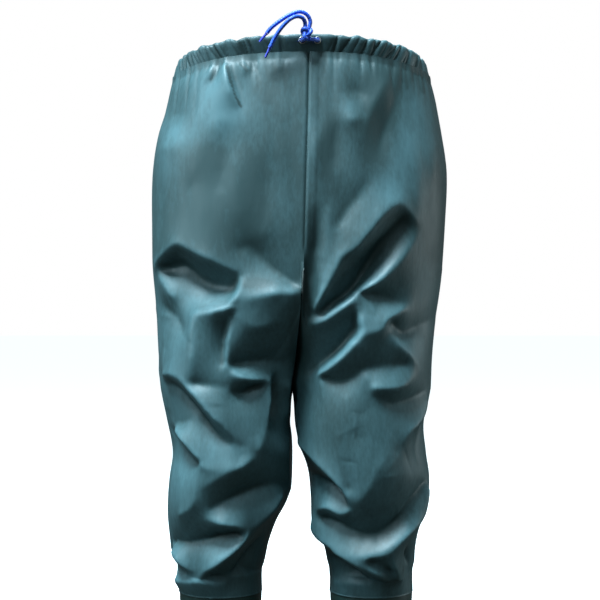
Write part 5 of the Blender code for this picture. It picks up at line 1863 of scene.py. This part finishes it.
for leg, side in SIDES.items():
    rings = np.stack([on_sole_line(boot_outline(leg, boot_row(h)), h) for h in BOOT_HEIGHTS])
    up = np.gradient(rings, axis=0)
    ahead = np.roll(rings, -1, axis=1) - np.roll(rings, 1, axis=1)
    normal = np.cross(ahead, up) * side
    normal /= np.linalg.norm(normal, axis=-1, keepdims=True)
    outer = rings + normal * boot_relief()[..., None]
    inner = rings - normal * BOOT_WALL
    skin = np.concatenate([outer, inner[::-1]])
    faces = loop_faces(len(skin), BOOT_AROUND)
    boot = grid_mesh("boot_" + leg + "_moulded", skin.reshape(-1, 3).tolist(),
                     (faces if side < 0 else faces[:, ::-1]).tolist())
    show(boot, BOOT_RUBBER, "boot_rubber", "boot_foot_" + leg, "boot_shaft_" + leg)

# %% [markdown]
# ## Soles
# The outsole is one moulded plate with chevron lugs. The plate is a stack of rings: a bevel below and
# above, and a thin groove halfway up its edge. Its bottom and top are closed in strips from side to side.

# %% Sole plate
TOE_SPRING = 0.010
TOE_SPRING_STATION = 0.24


def sole_bottom(station):
    """Height of the sole's underside: flat under heel and ball, sprung up at the toe."""
    return TOE_SPRING * np.maximum(0.0, 1 - station / TOE_SPRING_STATION) ** 2


def plate(name, rings, side):
    """A solid through stacked rings, closed across its bottom and top in strips."""
    count, half = len(rings), BOOT_AROUND // 2
    ids = np.arange(count * BOOT_AROUND).reshape(count, BOOT_AROUND)
    walls = loop_faces(count, BOOT_AROUND).reshape(count, BOOT_AROUND, 4)[:-1].reshape(-1, 4)
    faces = [tuple(f) for f in walls[:, ::-1].tolist()]
    for ring, turn in ((ids[0], -1), (ids[-1], 1)):
        ring = ring.tolist()
        strips = [(ring[0], ring[1], ring[-1]), (ring[half - 1], ring[half], ring[half + 1])]
        strips += [(ring[k], ring[k + 1], ring[-k - 1], ring[-k]) for k in range(1, half - 1)]
        faces += [strip[::turn] for strip in strips]
    faces = faces if side > 0 else [face[::-1] for face in faces]
    return grid_mesh(name, np.concatenate(rings).tolist(), faces)


print("toes spring up", round(float(sole_bottom(np.array(0.0))) * MM_PER_M, 1), "mm")

# %% [markdown]
# The grooves between the lugs and the hollow of the arch are cut out of the plate with a Boolean, as a
# tool would mill them in the mould's pattern. One cutter holds all of them as closed prisms.

# %% Tread cutter
GROOVE_WIDTH = 0.0075
GROOVE_DEPTH = 0.0045
GROOVE_POINT = 0.020
GROOVES = (-0.190, -0.164, -0.138, -0.112, 0.005, 0.028)
ARCH_FRONT = -0.078
HEEL_BREAST = -0.020
ARCH_HEIGHT = 0.011
ARCH_STEPS = 16
CUTTER_HALF_WIDTH = 0.075
CUTTER_BELOW = 0.004


def prism(outline, direction, points, faces):
    """Adds a closed prism on an outline to lists of points and faces."""
    start, size = len(points), len(outline)
    points += [tuple(p) for p in outline] + [tuple(np.add(p, direction)) for p in outline]
    near = list(range(start, start + size))
    far = [n + size for n in near]
    faces += [tuple(near[::-1]), tuple(far)]
    faces += [(near[i], near[i - size + 1], far[i - size + 1], far[i]) for i in range(size)]


def tread_cutter(leg, side):
    """All grooves of one sole and its arch, as one mesh to cut with."""
    points, faces = [], []
    corners = ((-CUTTER_HALF_WIDTH, GROOVE_POINT), (0.0, 0.0), (CUTTER_HALF_WIDTH, GROOVE_POINT),
               (CUTTER_HALF_WIDTH, GROOVE_POINT + GROOVE_WIDTH), (0.0, GROOVE_WIDTH),
               (-CUTTER_HALF_WIDTH, GROOVE_POINT + GROOVE_WIDTH))
    for groove in GROOVES:
        spring = float(sole_bottom(np.array((groove - BOOT[0].toe) / (BOOT[0].heel - BOOT[0].toe))))
        middle = BOOT_X[leg] + side * TOE_OUT * max(0.0, -groove)
        outline = [(middle + dx, LEG_AXIS_Y + groove + dy, -CUTTER_BELOW) for dx, dy in corners]
        prism(outline, (0.0, 0.0, CUTTER_BELOW + spring + GROOVE_DEPTH), points, faces)
    start = BOOT_X[leg] - CUTTER_HALF_WIDTH
    arch = []
    for share in np.linspace(1.0, 0.0, ARCH_STEPS):
        along = ARCH_FRONT + (HEEL_BREAST - ARCH_FRONT) * share
        arch.append((start, LEG_AXIS_Y + along, ARCH_HEIGHT * math.sin(share * math.pi / 2)))
    low = [(start, arch[-1][1] - CUTTER_BELOW, -CUTTER_BELOW), (start, arch[0][1], -CUTTER_BELOW)]
    prism(low + arch, (2 * CUTTER_HALF_WIDTH, 0.0, 0.0), points, faces)
    return grid_mesh("tread_cutter", points, faces)


print(len(GROOVES), "grooves and an arch")

# %% Soles
SOLE_LIP = 0.0030
SOLE_BEVEL = 0.0025
EDGE_GROOVE_HALF = 0.0012
SHARP_ANGLE = 35


def cut_out(obj, cutter):
    """Cuts one mesh out of another for good, and takes the cutter away."""
    cut = obj.modifiers.new("cut", "BOOLEAN")
    cut.operation = "DIFFERENCE"
    cut.object = cutter
    whole = obj.evaluated_get(bpy.context.evaluated_depsgraph_get())
    plain = obj.data
    obj.data = bpy.data.meshes.new_from_object(whole)
    obj.modifiers.clear()
    bpy.data.meshes.remove(plain)
    bpy.data.objects.remove(cutter)
    obj.data.set_sharp_from_angle(angle=math.radians(SHARP_ANGLE))


for leg, side in SIDES.items():
    first = BOOT[0]
    wide = first._replace(heel=first.heel + SOLE_LIP, toe=first.toe - SOLE_LIP,
                          half_width=first.half_width + SOLE_LIP)
    tread, edge = boot_outline(leg, first), boot_outline(leg, wide)
    low, high = sole_bottom(STATION), read_table(SOLE, "top", STATION)
    middle = (low + high) / 2
    stack = (
        # share of the lip, and height
        (0.0, low), (0.7, low + 0.3 * SOLE_BEVEL), (1.0, low + SOLE_BEVEL),
        (1.0, middle - EDGE_GROOVE_HALF), (0.75, middle), (1.0, middle + EDGE_GROOVE_HALF),
        (1.0, high - SOLE_BEVEL), (0.7, high - 0.3 * SOLE_BEVEL), (0.0, high),
    )
    rings = []
    for share, height in stack:
        ring = tread + (edge - tread) * share
        ring[:, 2] = height
        rings.append(ring)
    sole = plate("outsole_" + leg + "_lugged", rings, side)
    cut_out(sole, tread_cutter(leg, side))
    show(sole, SOLE_RUBBER, "sole_rubber", "outsole_" + leg)

# %% [markdown]
# ## Insoles
# A loose pad of grey felt lies in each boot. It is a plate like the sole, with a small round at its
# edges, and its finish is rough, with tufts in two greys and a soft nap.

# %% Insoles
INSOLE_INSET = 0.0030
INSOLE_THICKNESS = 0.003
INSOLE_EDGE = 0.0008
INSOLE_CLEARANCE = 0.0003
INSOLE_STACK = (
    # inset and height
    (INSOLE_EDGE, 0.0), (0.0, INSOLE_EDGE),
    (0.0, INSOLE_THICKNESS - INSOLE_EDGE), (INSOLE_EDGE, INSOLE_THICKNESS),
)
FELT_DARK = (0.12, 0.13, 0.13)
FELT_PALE = (0.21, 0.22, 0.22)


def felt():
    material, tree, shader = new_material("insole_felt_finish")
    tree.links.new(blend_colours(tree, mottle(tree, 9.0), FELT_DARK, FELT_PALE), shader.inputs["Base Color"])
    shader.inputs["Roughness"].default_value = 0.95
    shader.inputs["Sheen Weight"].default_value = 0.4
    bump(tree, shader, grain(tree, 0.7), 0.25)
    return material


FELT = felt()
for leg, side in SIDES.items():
    rings = []
    for inset, up in INSOLE_STACK:
        ring = boot_outline(leg, BOOT[0], INSOLE_INSET + inset)
        ring[:, 2] = read_table(SOLE, "top", STATION) + INSOLE_CLEARANCE + up
        rings.append(ring)
    show(plate("insole_" + leg + "_pad", rings, side), FELT, "insole_felt", "insole_" + leg)
